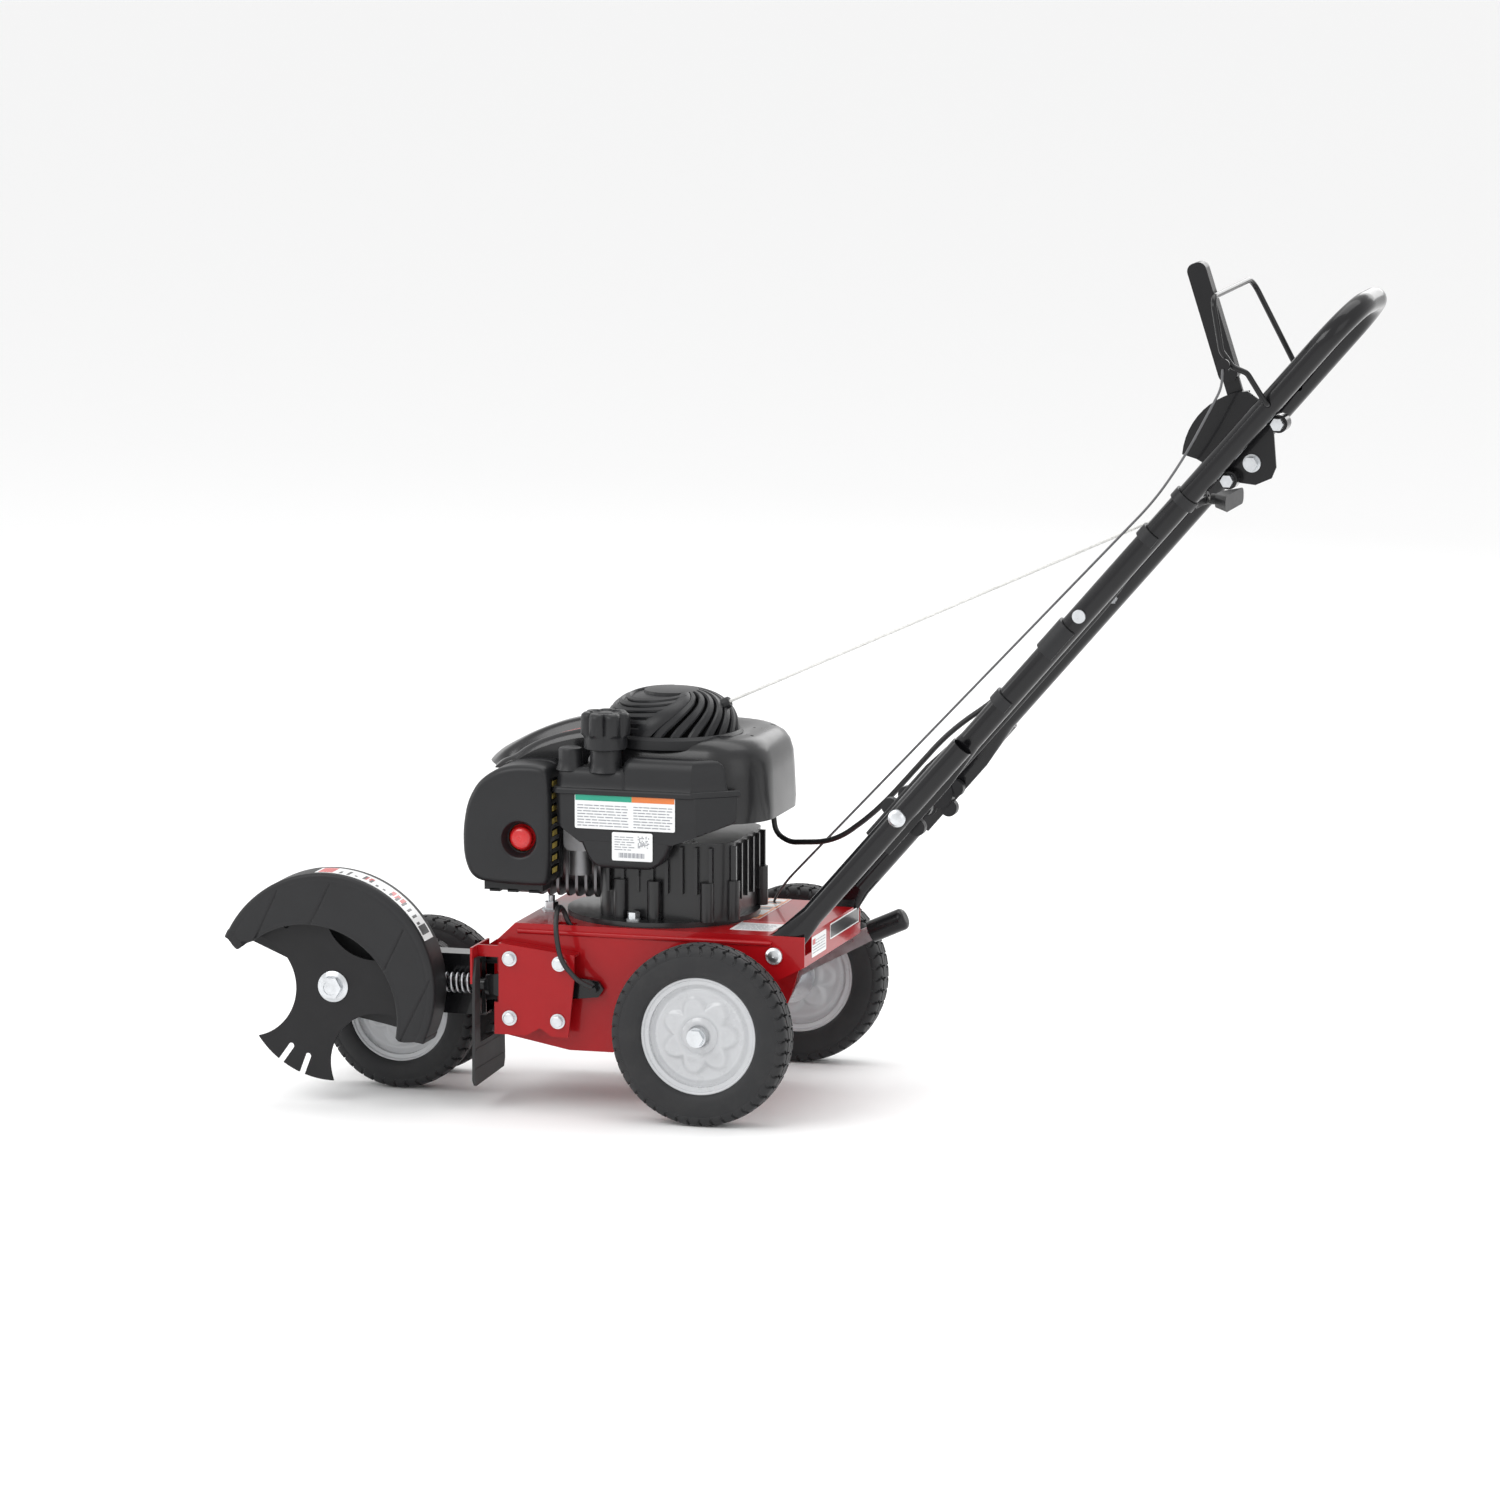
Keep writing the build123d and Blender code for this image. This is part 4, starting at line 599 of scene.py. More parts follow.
def blower():
    """Deep drawn cover with a sloping top, turned in at its lower edge."""
    x0, x1, y0, y1 = -187.0, 41.0, -113.0, 85.0
    outside = ((0.0, 322, 60), (-0.6, 334, 60), (0, 350, 60), (0.8, 372, 60), (2.0, 388, 59), (5.0, 400, 58),
               (10.0, 408, 56), (18.0, 413, 52), (30, 416, 46))
    inside = ((2.5, 322, 57.5), (2.5, 350, 57.5), (4.5, 386, 56), (20, 403, 48))

    def level(inset, z, radius):
        """The section at height z, lowered towards the rear where the top slopes."""
        ring = housing_section(x0 + inset, x1 - inset, y0 + inset, y1 - inset, radius, z)
        return [at(x, y, z - TOP_SLOPE * max(0.0, x + 10) * smooth(z, 350, 410)) for x, y, _ in ring]

    s = Shape()
    rows = [level(*step) for step in outside]
    cx, cy = DOME[0], DOME[1]
    edge = []
    for p in rows[-1]:
        d = (p - at(cx, cy, p.z / MM))
        d.z = 0
        edge.append(at(cx, cy, 411) + d.normalized() * 78 * MM)
    rows.append([a.lerp(b, 0.5) + Vector((0, 0, 0.0015)) for a, b in zip(rows[-1], edge)])
    rows.append(edge)
    rows.append([p + Vector((0, 0, -0.006)) for p in edge])
    s.grid(rows, join_cols=True)
    inner = [level(*step) for step in inside]
    s.grid(inner, join_cols=True, flip=True)
    s.grid([rows[0], inner[0]], join_cols=True, flip=True)
    s.make("blower_cover", "engine_black", BODY_OF["blower_housing"], stands_for="blower_housing", sharp=40)
    # slots, each a near-black box of painted shade laid on the sloping top
    slot_shade_boxes = Shape()
    surface = BVHTree.FromPolygons(s.verts, s.faces)
    for x, y, length in ((7, -2, 10), (12, -50, 8), (14, 36, 6), (-8, 58, 9)):
        corners = []
        for u, v in ((-length / 2, -1.7), (length / 2, -1.7), (length / 2, 1.7), (-length / 2, 1.7)):
            corners.append(surface.ray_cast(at(x + u, y + v, 500), Vector((0, 0, -1)))[0])
        up, down = Vector((0, 0, 0.0001)), Vector((0, 0, -0.0015))
        slot_shade_boxes.add([c + down for c in corners] + [c + up for c in corners],
                  [(0, 1, 5, 4), (1, 2, 6, 5), (2, 3, 7, 6), (3, 0, 4, 7), (3, 2, 1, 0), (4, 5, 6, 7)])
    slot_shade_boxes.make("blower_slot_shade", "void", BODY_OF["blower_housing"], slot="engine_black")


def curve(x, knots):
    """A smooth line through (x, y) knots."""
    k = max(i for i in range(len(knots) - 1) if i == 0 or knots[i][0] <= x)
    p = [knots[max(0, min(len(knots) - 1, k + d))] for d in (-1, 0, 1, 2)]
    span = p[2][0] - p[1][0]
    t = max(0.0, min(1.0, (x - p[1][0]) / span))
    m1 = (p[2][1] - p[0][1]) / (p[2][0] - p[0][0]) * span
    m2 = (p[3][1] - p[1][1]) / (p[3][0] - p[1][0]) * span
    return ((2 * t ** 3 - 3 * t ** 2 + 1) * p[1][1] + (t ** 3 - 2 * t ** 2 + t) * m1
            + (3 * t ** 2 - 2 * t ** 3) * p[2][1] + (t ** 3 - t ** 2) * m2)


# the hood's height along its crest, by X, and how far it falls away from that, by Y
HOOD_CREST = ((-296, 366), (-292, 372.5), (-285, 380), (-275, 388), (-257, 398.5), (-237, 408.5),
              (-207, 420.5), (-187, 426.5), (-168, 430.5), (-150, 431))
HOOD_FALL = ((-104, -40), (-102, -28), (-98, -16), (-92, -10.5), (-87, -12.5), (-82, -20), (-78, -21),
             (-73, -12), (-68, -2.5), (-62, 0), (-45, -0.5), (-20, -4), (4, -13), (26, -29), (46, -48))
HOOD_FOOT = 0.3722  # height of its lower edge, in m


def hood_front(y):
    """How far back the hood's front edge lies at y, in mm."""
    return 22.0 * smooth(y, -40, -100) + 10.0 * smooth(y, 10, 46)


def hood_top(x, y):
    """Height of the hood above the ground at x, y, in mm."""
    along_x = x - hood_front(y) * (1 - smooth(x, -285, -215))
    fall = curve(y, HOOD_FALL) * (0.12 + 0.88 * smooth(along_x, -293, -255))
    return max(372.5, curve(along_x, HOOD_CREST) + fall)


def front_cover():
    """Swept hood over the cylinder: a high arch, a lower one beside it and a recess between them."""
    n, m = 56, 150
    x1, y0, y1 = -152.0, -99.6, 45.6
    s = Shape()
    outer = []
    for i in range(n + 1):
        row = []
        for j in range(m + 1):
            y = y0 + (y1 - y0) * j / m
            x0 = -291.6 + hood_front(y)
            x = x0 + (x1 - x0) * (i / n) ** 1.15
            row.append(at(x, y, hood_top(x, y)))
        outer.append(row)
    s.grid(outer, flip=True)
    lower = [[Vector((p.x, p.y, max(HOOD_FOOT, p.z - 0.003))) for p in row] for row in outer]
    s.grid(lower)
    s.grid([lower[-1], outer[-1]])
    wall = 0.0028
    for edge, shift in (([row[0] for row in outer], Vector((0, wall, 0))),
                        ([row[m] for row in outer], Vector((0, -wall, 0))),
                        (outer[0], Vector((wall, 0, 0)))):
        foot = [Vector((p.x, p.y, HOOD_FOOT)) for p in edge]
        s.grid([edge, foot, [p + shift for p in foot], [p + shift for p in edge]], join_rows=True)
    s.make("front_hood", "hood_gloss", BODY_OF["front_cover"], slot="black_plastic",
           stands_for="front_cover", sharp=45)
    badge = Shape()
    badge.grid([[at(x, y, hood_top(x, y) + 0.35) for y in (-78.5, -77, -75, -73)]
                for x in (-204 + 2.5 * i for i in range(12))], flip=True)
    badge.make("hood_badge", "badge_red", BODY_OF["front_cover"])


def label(name, corner, u, v, prints, body, thick=0.25, radius=2.0):
    """A sticker with coloured bands and plain grey rules; u and v run along its width and height in mm."""
    u, v = Vector(u), Vector(v)
    wide, tall = u.length, v.length
    un, vn = u.normalized(), v.normalized()
    n = un.cross(vn).normalized()
    base = at(*corner)

    def place(a, b, w):
        return base + (un * a + vn * b + n * w) * MM

    s = Shape()
    s.prism([(x, y) for x, y, _ in housing_section(0, wide, 0, tall, radius, 0, 4)], place, thick)
    s.make(name, "white_vinyl", body)
    for i, (mat, boxes) in enumerate(prints):
        # each colour is a little thicker than the one before, so no two faces lie in one plane
        s = Shape()
        for x0, x1, y0, y1 in boxes:
            s.prism(rectangle(x0, x1, y0, y1), lambda a, b, w: place(a, b, thick + w), 0.08 + 0.05 * i)
        s.make(f"{name}_{i}", mat, body, slot="white_vinyl")


def rectangle(x0, x1, y0, y1):
    return [(x0, y0), (x1, y0), (x1, y1), (x0, y1)]


def rules(x0, x1, y0, y1, count, rng):
    """Grey rules that only suggest lines of small print."""
    boxes = []
    step = (y1 - y0) / count
    for k in range(count):
        y = y0 + step * k
        x = x0
        while x < x1 - 3:
            length = rng.uniform(3, 10)
            boxes.append((x, min(x1, x + length), y, y + step * 0.34))
            x += length + rng.uniform(0.8, 1.6)
    return boxes


def tank():
    """Moulded tank halves with soft edges, the lip between them, and their stickers."""
    body = BODY_OF["fuel_tank"]
    s = Shape()

    def trimmed(ring, z, corner, low):
        """The ring with its rear near corner cut off and its underside tapered."""
        dense = []
        for a, b in zip(ring, ring[1:] + ring[:1]):
            dense += [Vector(a).lerp(Vector(b), k / 6) for k in range(6)]
        out = []
        for p in dense:
            x = p.x
            limit = corner + (p.y + 146) * 1.4
            if corner and x > limit - 20:
                x = limit - 1.5 * log1p(exp(min(60, (limit - x) / 1.5)))
            if low:
                x = max(-154 - (z - 299) * 1.4, min(-58 + (z - 299) * 2.75, x))
            out.append(at(x, p.y, z))
        return out

    def shell(x0, x1, y0, y1, radius, steps, corner=0.0, low=False):
        """A loft through (inset, height) steps."""
        rows = []
        for i, z in steps:
            ring = housing_section(x0 + i, x1 - i, y0 + i * 0.8, y1 - i * 0.8,
                                   max(2.0, radius - i * 0.6), z, 8)
            rows.append(trimmed(ring, z, corner - i if corner else 0.0, low))
        s.loft(rows)

    # lower half, lip, the high rear half under the cap's side and the low front half
    wall = [(0.4, 302 + 2.5 * k) for k in range(12)]
    shell(-186, 22, -146.4, -116, 10, [(6, 299.6), (2, 300.6)] + wall + [(0, 332), (-0.6, 355.5)], -22, True)
    shell(-190, 28, -150, -113.6, 10,
          ((1.5, 355), (0.2, 355.8), (0, 357.5), (0.1, 360), (1.2, 361.8), (3, 362.4)), -22)
    shell(-112, 8, -146.2, -114.5, 12,
          ((-2.5, 361), (-0.5, 364), (0.4, 370), (1.5, 384), (4, 391), (8, 395), (12, 396.2)), -28)
    shell(-186, -98, -146.2, -114.5, 12,
          ((-2.5, 361), (-0.5, 364), (0.3, 370), (1.5, 378), (4.5, 382.5), (9, 384.5)))
    rows = []
    for x0, x1, y0, z in ((-126, -84, -138, 271.8), (-134, -76, -142, 272.6), (-141, -69, -145.4, 276),
                          (-146, -62, -146.3, 281), (-151, -57, -146.4, 290), (-157, -52, -146.4, 303)):
        rows.append([at(*p) for p in housing_section(x0, x1, y0, -124, 6, z, 8)])
    s.loft(rows)
    # filler neck and the boss in front of it
    for x, y, r, z1 in ((-131, -131, 17.4, 412), (-172, -130, 13.5, 405)):
        side = [(r + 3, 380), (r + 0.8, 385), (r, 390), (r, z1 - 3), (r - 1.2, z1 - 0.8), (r - 3.5, z1)]
        rows = [[at(x + q * cos(a), y + q * sin(a), z) for a in turns(40)] for q, z in side]
        s.grid(rows, join_cols=True)
        s.cap(rows[-1])
    s.make("tank_shells", "black_plastic", body, stands_for="fuel_tank", sharp=42)
    rng = random.Random(3)
    label("tank_label", (-162, -147.2, 317), (116, 0, 0), (0, 0, 38.5),
          [("sticker_green", [(0.6, 66, 31.5, 37.9)]), ("sticker_orange", [(66, 115.4, 31.5, 37.9)]),
           ("sticker_grey", rules(3, 62, 3, 29, 8, rng) + rules(68, 113, 3, 29, 8, rng))], body)
    lines = rules(3, 26, 12, 29, 6, rng)
    checks = [(30 + 1.5 * a, 31.2 + 1.5 * a, 15 + 1.5 * b, 16.2 + 1.5 * b)
              for a in range(9) for b in range(9) if rng.random() < 0.5]
    bars = [(8 + 1.5 * k, 8.7 + 1.5 * k + 0.3 * (k % 3), 3.5, 9) for k in range(20)]
    label("tank_label_small", (-119, -147.2, 282.5), (47, 0, 0), (0, 0, 32),
          [("sticker_grey", lines + checks + bars)], body)


def cap():
    """Fuel cap with seven lobes and a dished top."""
    lo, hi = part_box("fuel_cap")
    c = middle("fuel_cap")
    z0, tall = lo[2], hi[2] - lo[2]
    s = Shape()
    rows = []
    # share of the height, radius, and how far the lobes show there
    for t, base, lobe in ((0.0, 22.6, 0), (0.02, 24, 0), (0.30, 24, 0.0), (0.36, 24.2, 0.35), (0.42, 24.5, 1),
                          (0.86, 24.2, 1), (0.95, 23.4, 1), (1.0, 21.0, 0.9), (1.0, 17.5, 0.75),
                          (0.955, 16, 0.6), (0.95, 9, 0.2), (0.985, 7, 0.1), (0.985, 0.1, 0)):
        row = []
        for a in turns(120):
            r = base + lobe * 3.6 * (abs(cos(3.5 * a)) ** 0.6 * 2 - 1) * (1 if base > 20 else 0.8)
            r = min(r, 29.5)
            row.append(Vector((c.x + r * MM * cos(a), c.y + r * MM * sin(a), z0 + tall * t)))
        rows.append(row)
    s.grid(rows, join_cols=True)
    s.cap(rows[0], flip=True)
    s.make("cap_lobed", "black_plastic", BODY_OF["fuel_cap"], stands_for="fuel_cap", sharp=45)


# --- blade head ---
BLADE = (-429.0, 133.0)  # blade centre, X and Z in mm
GUARD_BACK = -167.5
# the guard's outer wall and the inner edge of its front: centre from the blade's, and radius
WALL_X, WALL_Z, WALL_R = -5.0, 2.0, 128.8
LIP_X, LIP_Z, LIP_R = -25.0, -33.0, 104.2
GROOVES = (((-60.7, 107.7), (-86.5, 52)), ((1.3, 118.8), (-22.5, 70.6)), ((87.2, 70.6), (64.3, 24.1)),
           ((117.7, 14.9), (79.6, -61.3)))


def near_line(px, pz, a, b):
    """Distance from a point to the line from a to b."""
    dx, dz = b[0] - a[0], b[1] - a[1]
    t = ((px - a[0]) * dx + (pz - a[1]) * dz) / (dx * dx + dz * dz)
    t = max(0.0, min(1.0, t))
    return hypot(px - a[0] - t * dx, pz - a[1] - t * dz)


# air filter cover's outline and the primer's centre, X and Z in mm
FILTER_OUTLINE = ((-190, 254), (-190, 377), (-199, 386), (-230, 386), (-253, 380), (-274, 365), (-287, 341),
                  (-292, 310), (-291, 280), (-284, 260), (-270, 251), (-200, 249))
PRIMER = (-225.0, 302.0)


def filter_cover():
    """Moulded cover with a soft edge, a recess round the primer and foam showing at its slotted side."""
    loop = [Vector((x, z)) for x, z in FILTER_OUTLINE]
    for _ in range(3):
        loop = [p for a, b in zip(loop, loop[1:] + loop[:1]) for p in (a.lerp(b, 0.22), a.lerp(b, 0.78))]
    centre = Vector(PRIMER)
    angles = turns(180)
    # distance from the primer's centre to the outline at each angle
    reach = []
    for a in angles:
        d = Vector((cos(a), sin(a)))
        best = 0.0
        for p, q in zip(loop, loop[1:] + loop[:1]):
            e, w = q - p, p - centre
            det = d.x * e.y - d.y * e.x
            if abs(det) > 1e-9:
                t = (w.x * e.y - w.y * e.x) / det
                u = (w.x * d.y - w.y * d.x) / det
                if 0 <= u <= 1 and t > best:
                    best = t
        reach.append(best)

    def ring(inset, y):
        return [at(centre.x + (r - inset) * cos(a), y, centre.y + (r - inset) * sin(a))
                for a, r in zip(angles, reach)]

    def circle(r, y):
        return [at(centre.x + r * cos(a), y, centre.y + r * sin(a)) for a in angles]

    s = Shape()
    rows = [ring(*step) for step in ((0, -104), (0, -112), (0.7, -112.8), (0.7, -114), (0.2, -114.8),
                                     (0.2, -147))]
    for k in range(1, 8):
        a = radians(90 * k / 7)
        rows.append(ring(0.2 + 8 * (1 - cos(a)), -147.6 - 8 * sin(a)))
    rows.append(ring(12, -155.8))
    rows += [circle(*step) for step in ((24, -155.9), (22, -155.6), (20.6, -154.6), (19.6, -151),
                                        (17.4, -145.5), (16.8, -143), (15.9, -142.6), (15.9, -141),
                                        (22, -141), (22, -152.4))]
    rows += [ring(*step) for step in ((10, -152.4), (3.2, -146), (3.2, -104))]
    s.grid(rows, join_rows=True, join_cols=True)
    # latch bar below and its three tabs
    for x0, x1, y1, z0, z1 in ((-270, -202, -109, 241.5, 252), (-264, -252, -108, 239.5, 243),
                               (-243, -231, -108, 239.5, 243), (-218, -206, -108, 239.5, 243)):
        s.prism(rectangle(x0, x1, -140, y1), lambda u, v, w, z=z0: at(u, v, z + w), z1 - z0)
    # two raised arcs beside the primer
    for r0, r1 in ((31, 32), (35, 36)):
        arc = [radians(d) for d in range(160, 201, 4)]
        outline = [(centre.x + r1 * cos(a), centre.y + r1 * sin(a)) for a in arc]
        outline += [(centre.x + r0 * cos(a), centre.y + r0 * sin(a)) for a in reversed(arc)]
        s.prism(outline, lambda u, v, w: at(u, -155.4 - w, v), 0.55)
    body = BODY_OF["air_filter_cover"]
    s.make("filter_shell", "black_plastic", body, stands_for="air_filter_cover", sharp=38, bevel=0.0006)
    # the slots are near-black prisms of painted shade, each with a strip of foam in it
    dark, foam = Shape(), Shape()
    for k in range(8):
        z = 262 + 14 * k
        dark.prism(rectangle(-143, -117, z, z + 9), lambda u, v, w: at(-191 + w, u, v), 0.95)
        foam.prism(rectangle(-142, -124, z + 1, z + 7), lambda u, v, w: at(-191 + w, u, v), 1.05)
    dark.make("filter_slot_shade", "void", body, slot="black_plastic")
    foam.make("filter_foam_edge", "filter_foam", body)


def primer():
    """Soft red bulb: a flange, a waist and a low dome with a dimple."""
    x, z = PRIMER
    y0 = -138.4
    profile = [(15.3, 0), (15.4, 1.2), (14.8, 2.2), (13.4, 2.6), (12.9, 3.4), (13.1, 5.4), (13.1, 7.6),
               (12.4, 9.6), (10.8, 11.2), (8.4, 12.2), (5.5, 12.75), (2.6, 12.9), (1.3, 12.6), (0.4, 12.0)]
    rows = [[at(x + r * cos(a), y0 - h, z + r * sin(a)) for a in turns(64)] for r, h in profile]
    s = Shape()
    s.grid(rows, join_cols=True)
    s.cap(rows[0])
    s.cap(rows[-1], flip=True)
    s.make("primer_dome", "primer_red", BODY_OF["primer_bulb"], stands_for="primer_bulb", sharp=50)


def guard_skin():
    """Half drum with a creased front ring, a lip at each end and a rolled outer edge."""
    columns = 46
    steps = 380

    def inner_radius(a):
        """Distance from the wall's centre to the front's inner edge at angle a."""
        dx, dz = WALL_X - LIP_X, WALL_Z - LIP_Z
        b = dx * cos(a) + dz * sin(a)
        return -b + sqrt(b * b - (dx * dx + dz * dz) + LIP_R * LIP_R)

    def angle(f, t):
        """The angle at share f from the inner edge to the wall, and share t of the way round."""
        lo = curve(f, ((0, 150.5), (0.14, 158.5), (0.3, 160.0), (1.0, 156.8)))
        hi = curve(f, ((0, -33.0), (0.2, -33.5), (1.0, -27.5)))
        return radians(lo + (hi - lo) * t)

    def point(a, r, y):
        return WALL_X + r * cos(a), y, WALL_Z + r * sin(a)

    s = Shape()
    rows = []
    for i in range(steps + 1):
        t = i / steps
        wall, bore = angle(1.0, t), angle(0, t)
        lip = 1.0 if t < 0.022 or t > 0.982 else 0.0
        row = [point(wall, WALL_R - 0.8 + 0.8 * lip, y) for y in (GUARD_BACK, -180.0, -195.0, -206.0)]
        for turn in (20, 45, 70):
            b = radians(turn)
            row.append(point(wall, WALL_R - 4.8 + 4 * cos(b) + 0.8 * lip, -209.2 - 4 * sin(b)))
        for k in range(columns + 1):
            f = 1 - k / columns
            a = angle(f, t)
            r0 = inner_radius(a)
            r = r0 + 1.4 + (WALL_R - 5.2 - r0 - 1.4) * f
            x, _, z = point(a, r, 0)
            cut = max(exp(-(near_line(x, z, *g) / 1.2) ** 2) for g in GROOVES)
            edge = exp(-((WALL_R - 9.5 - r) / 1.2) ** 2) * 0.35
            hem = 0.5 * smooth(r - r0, 5.0, 3.0)
            row.append((x, -213.2 + 1.35 * max(cut, edge) - hem - 0.5 * lip, z))
        r0 = inner_radius(bore)
        row += [point(bore, r0, -212.6), point(bore, r0, -210.8),
                point(wall, WALL_R - 4.0, -210.8), point(wall, WALL_R - 4.0, GUARD_BACK)]
        rows.append([at(BLADE[0] + x, y, BLADE[1] + z) for x, y, z in row])
    s.loft(rows)
    # back plate, round the bearing housing
    outline = [point(radians(d), WALL_R - 3.5, 0)[::2] for d in range(-26, 159, 4)]
    outline += [(-86, 45), (-62, 24), (-45, 7), (-32, -10), (-20, -26), (0, -32), (22, -39), (48, -44),
                (76, -50), (94, -53)]
    outer = sorted(outline, key=lambda p: atan2(p[1], p[0]))
    inner = [(21.6 * cos(atan2(z, x)), 21.6 * sin(atan2(z, x))) for x, z in outer]
    loops = [[at(BLADE[0] + x, y, BLADE[1] + z) for x, z in loop]
             for loop, y in ((outer, -167.9), (outer, -170.4), (inner, -170.4), (inner, -167.9))]
    s.grid(loops, join_rows=True, join_cols=True)
    s.make("guard_drum", "guard_plastic", BODY_OF["blade_guard"], stands_for="blade_guard", sharp=32)


def guard_label():
    """Strip round the guard's outer wall: white, with red and dark marks that only suggest pictures."""
    def band(a0, a1, y0, y1, r):
        rows = []
        n = max(2, int(abs(a1 - a0) / 1.5))
        for k in range(n + 1):
            a = radians(a0 + (a1 - a0) * k / n)
            rows.append([at(BLADE[0] + WALL_X + q * cos(a), y, BLADE[1] + WALL_Z + q * sin(a))
                         for q, y in ((r, y0), (r, y1), (r - 0.3, y1), (r - 0.3, y0))])
        return rows

    rng = random.Random(11)
    white, red, dark = WALL_R - 0.45, WALL_R - 0.35, WALL_R - 0.33
    reds = [(94.5, 87, -204, -178, red)]
    for a in (72, 69, 56, 53, 50):
        reds.append((a, a - 2.2, -200 + rng.uniform(0, 6), -186 + rng.uniform(0, 6), red))
    darks = []
    for a in range(84, 30, -4):
        darks.append((a, a - 1.4, -203 + rng.uniform(0, 5), -196 + rng.uniform(0, 14), dark))
    darks.append((34, 29, -203, -180, WALL_R - 0.34))
    for name, mat, marks in (("guard_strip", "white_vinyl", [(96, 26, -206, -176, white)]),
                             ("guard_strip_red", "sticker_red", reds),
                             ("guard_strip_dark", "sticker_black", darks)):
        s = Shape()
        for mark in marks:
            s.loft(band(*mark))
        s.make(name, mat, BODY_OF["blade_guard"])


def flap_creases():
    """Raised lines across the rubber flap, on both its faces."""
    s = Shape()
    for z, y0, y1 in ((146, -190, -174), (120, -190, -174), (95, -190, -174), (68, -189, -86),
                      (46, -189, -86)):
        for x, depth in ((-268.6, 0.9), (-265.1, 0.8)):
            s.prism(rectangle(y0, y1, z - 0.8, z + 0.8), lambda u, v, w, x=x: at(x + w, u, v), depth)
    s.make("flap_creases", "rubber", BODY_OF["debris_flap"])


# --- cables, rope and belt ---
PATH_STEP = 0.004  # spacing of the points round a cable's bends, in m
CLUTCH_SPLIT = 0.74  # height at which the clutch cable passes to its second piece
HANDLE = radians(49)  # rise of the handle
FOLD_X, FOLD_Z = 56.0, 169.5  # the handle's pivot
COS, SIN = cos(HANDLE), sin(HANDLE)


def along(s, y=0.0, front=0.0):
    """A point at s along the handle and front ahead of it, in mm."""
    return (FOLD_X + s * COS - front * SIN, y, FOLD_Z + s * SIN + front * COS)


def run_through(route):
    """The smooth line that a cable takes past the points of its route, which are in mm."""
    points = [at(*p) for p in route]
    return fillet_path(points, fair_radii(points), step=PATH_STEP)


def cable(name, path, radius, mat, stands_for, bodies, start, end):
    """A cable of the given radius in mm along the path, fixed where it is built; bodies, start and end do not
    move it.
    """
    s = Shape()
    s.tube(path, radius * MM)
    s.make(name, mat, (*bodies, start, end), stands_for=stands_for, sharp=60)


def cables():
    """Clutch wire in two pieces, engine cable and depth cable."""
    ends = ("chassis", "upper_handle")
    route = ((5, 60, 150), (5, 60, 204), (24, 54, 232), (492, -118, 706), (530, -136, 758), (570, -135, 834),
             (572.7, -142.5, 855.5))
    path = run_through(route)
    split = next(i for i, p in enumerate(path) if p.z > CLUTCH_SPLIT)
    cable("clutch_wire", path[:split + 1], 1.4, "cable_grey", "clutch_cable", ends,
          at(*route[2]), at(*route[3]))
    cable("clutch_wire_end", path[split:], 1.4, "cable_grey", (), ("upper_handle", "bail"),
          path[split], path[-1])
    route = ((17, 26, 314), (20, 25, 292), (38, 19, 283), (100, -14, 292), (160, -50, 336),
             along(330, -86, 26), along(400, -88, 9), along(845, -88, 8.5))
    cable("engine_sheath", run_through(route), 3.1, "cable_black", "engine_cable", ends,
          at(*route[3]), at(*route[5]))
    route = ((548, -66, 742), (528, -66, 724), along(695, -73, 8), along(630, -82, -4),
             along(565, -89.5, -11.5), along(320, -89.5, -12), along(235, -84, -8), along(120, -88, 4),
             (78, -98, 218), (52, -100, 196), (20, -104, 190), (-60, -118, 192), (-130, -132, 190),
             (-170, -138, 200), (-178, -142, 226), (-177, -167, 230), (-174, -182.5, 206),
             (-168, -182.5, 172), (-150, -177, 150), (-136, -170.5, 142))
    cable("depth_sheath", run_through(route), 2.9, "cable_black", "depth_cable", ends,
          at(*route[8]), at(*route[5]))


def starter_rope():
    """Three twisted strands from the dome's eyelet to the eye on the handle, and a short end to the grip."""
    start, eye = Vector((-34, -35.5, 440.3)), Vector(along(712, -52, -10))
    twists, spread, count = 62, 0.95, 260
    side = (eye - start).orthogonal().normalized()
    up = (eye - start).normalized().cross(side)
    s = Shape()
    for strand in range(3):
        points = []
        for k in range(count + 1):
            t = k / count
            a = 2 * pi * (t * twists + strand / 3)
            p = start.lerp(eye, t) + (side * cos(a) + up * sin(a)) * spread
            points.append(at(*p))
        s.tube(points, 0.00115, sides=6)
    s.make("rope_strands", "rope", ("chassis", "upper_handle", at(*start), at(*eye)),
           stands_for="starter_rope", sharp=60)
    # short end of rope past the eye
    s = Shape()
    end = eye + Vector((16, 0, 0))
    s.tube([at(*eye.lerp(end, k / 16)) for k in range(17)], 0.002, sides=10)
    s.make("rope_tail", "rope", ("upper_handle", "starter_pull", at(*(eye + Vector((3, 0, 0)))),
                                 at(*(eye + Vector((13, 0, 0))))), sharp=60)


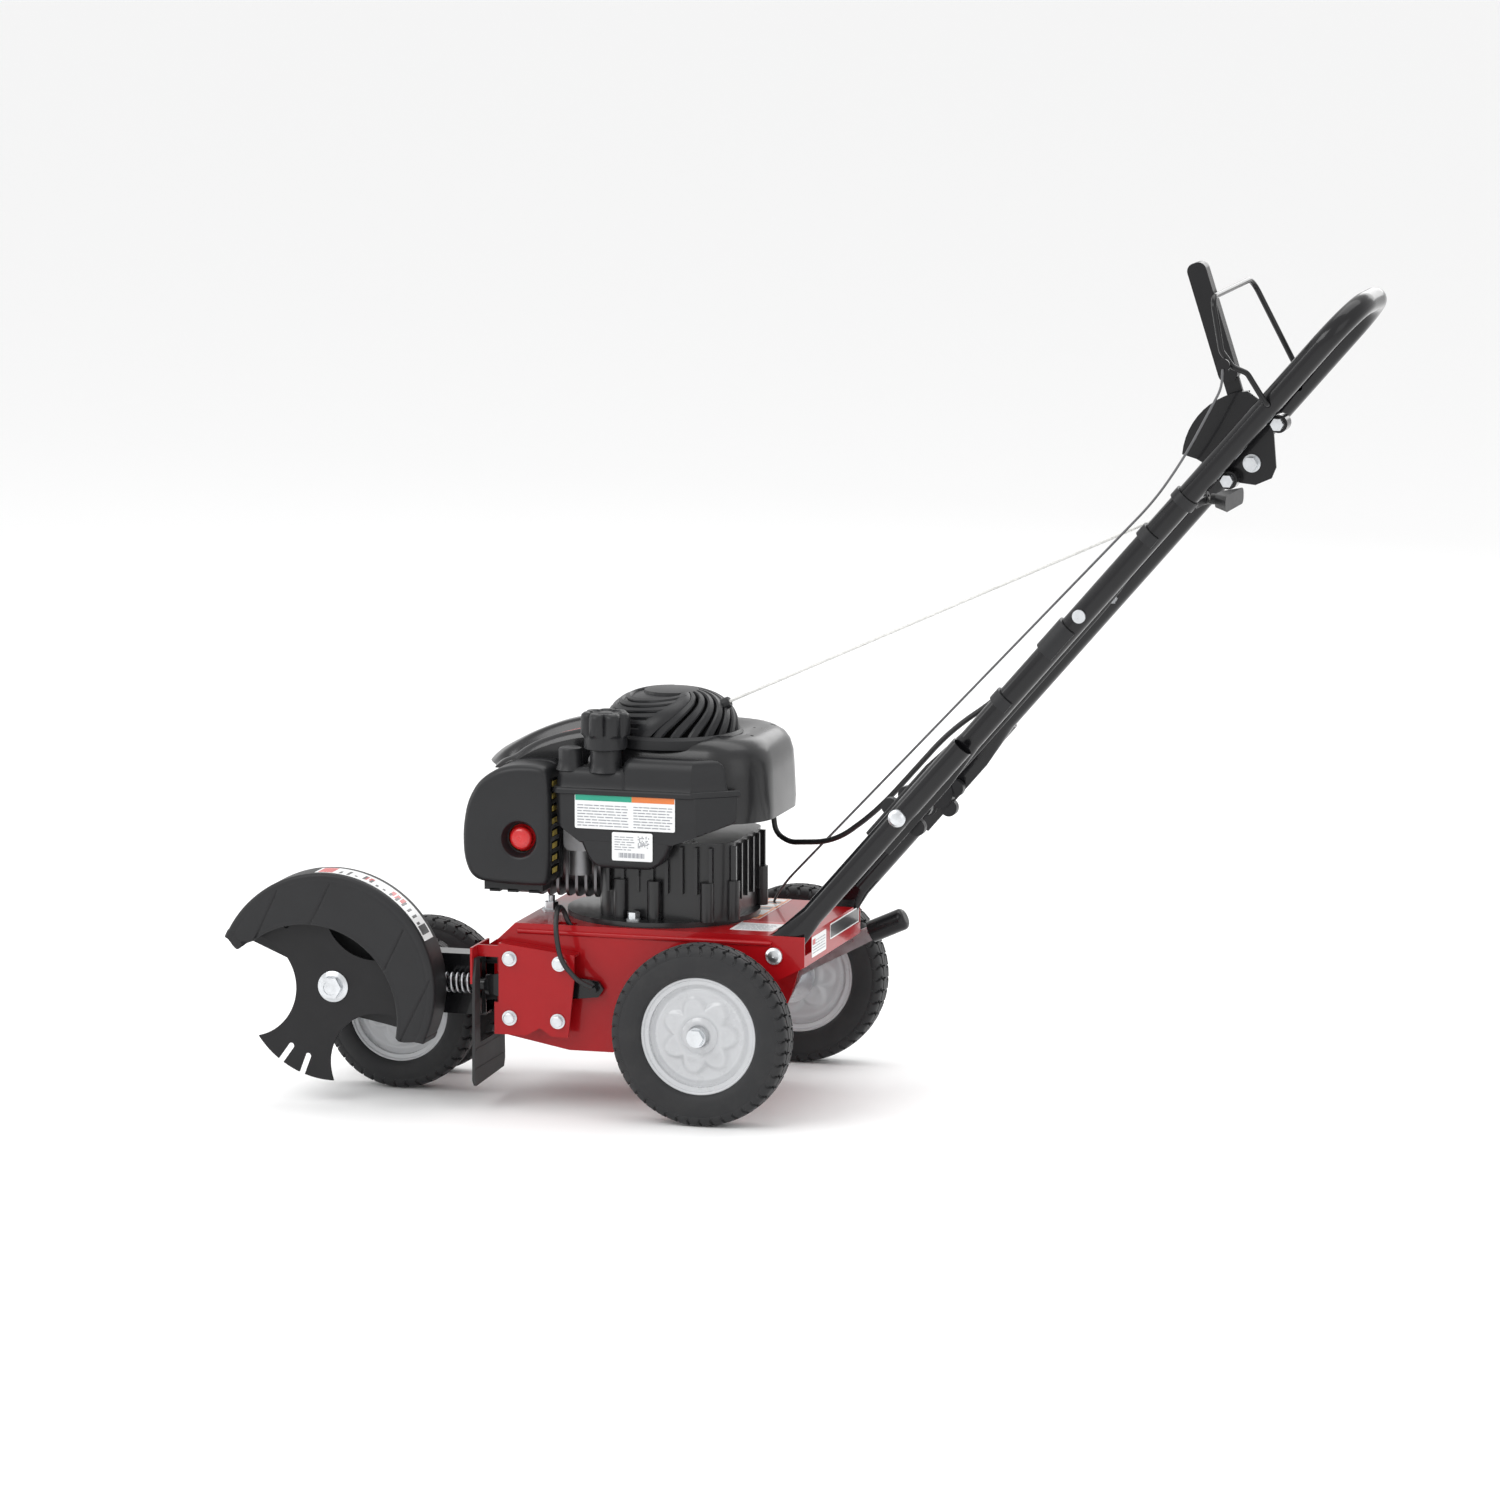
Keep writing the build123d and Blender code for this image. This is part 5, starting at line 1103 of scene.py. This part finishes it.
def belt():
    """V belt: the crank end and the blade end, joined by the long quarter turn."""
    r, groove = 22.0, 27.5                        # the belt's radius round the blade's and the crank's pulley
    zt, zb = BLADE[1] + r, BLADE[1] - r
    x0, y = BLADE[0] - r, -120.0
    pulley = 168.0                                # height of the crank's pulley
    y0, y1 = -36 - groove, -36 + groove
    x1 = -92 + groove
    route = [(-320, y, zt), (x0, y, zt), (x0, y, zb), (-300, y, zb), (-196, y - 6, zb + 18),
             (-150, -106, pulley), (-100, y0, pulley), (x1, y0, pulley), (x1, y1, pulley), (-112, y1, pulley),
             (-176, -90, pulley), (-222, y, zt + 4)]
    radii = [(r - 0.2), (r - 0.2), 60, 50, 60, 60, groove - 1, groove - 1, 40, 60]
    points = fillet_path([at(*p) for p in route], [q * MM for q in radii], step=PATH_STEP)
    s = Shape()
    s.tube(points + [points[0]], 0.0036, sides=8)
    s.make("belt_run", "belt_rubber", ("chassis", "blade_arm", at(-190, y, 140), at(-262, y, 140)),
           stands_for="drive_belt", sharp=40)


# --- stickers on the deck ---
def deck_labels():
    """Two stickers on the deck's top and two on its rear wall, without lettering."""
    rng = random.Random(5)
    body = BODY_OF["deck"]
    label("deck_label_pale", (10, -124, 207.05), (50, 0, 0), (0, 58, 0),
          [("sticker_grey", rules(4, 46, 6, 40, 6, rng)), ("sticker_red", [(0.8, 49.2, 46, 57)])], body)
    label("deck_label_orange", (24, -52, 207.05), (0, 130, 0), (-30, 0, 0),
          [("sticker_orange", [(1, 129, 1, 29)]),
           ("white_vinyl", [(26, 56, 4, 24), (78, 96, 4, 24), (112, 126, 4, 24)]),
           ("sticker_black", [(6, 22, 6, 20), (60, 74, 6, 20), (99, 109, 6, 20)])], body)
    label("rear_label_cream", (104.05, -121, 179), (0, 58, 0), (0, 0, 23),
          [("sticker_grey", rules(4, 54, 4, 20, 5, rng)), ("sticker_red", [(3, 14, 14, 20)])], body)
    label("rear_label_dark", (104.05, -47, 187), (0, 118, 0), (0, 0, 17.5),
          [("sticker_black", [(1.5, 116.5, 1.5, 16)])], body)


def soften(names, width, segments=2):
    """Small round on the hard edges of carried-over shapes."""
    for name in names:
        mod = frame["nodes"][name].modifiers.new("edge", "BEVEL")
        mod.width = width
        mod.segments = segments
        mod.limit_method = "ANGLE"
        mod.angle_limit = radians(42)
        mod.harden_normals = False


inlet_dome()
blower()
front_cover()
tank()
cap()
filter_cover()
primer()
guard_skin()
guard_label()
flap_creases()
cables()
starter_rope()
belt()
deck_labels()
soften(("crankcase", "star_knob_near", "star_knob_far", "starter_grip"), 0.0012)
soften(("deck", "blade_bracket", "front_arm", "engine_base", "quadrant", "blade_arm", "air_filter_base"),
       0.0006)
studio()
camera()
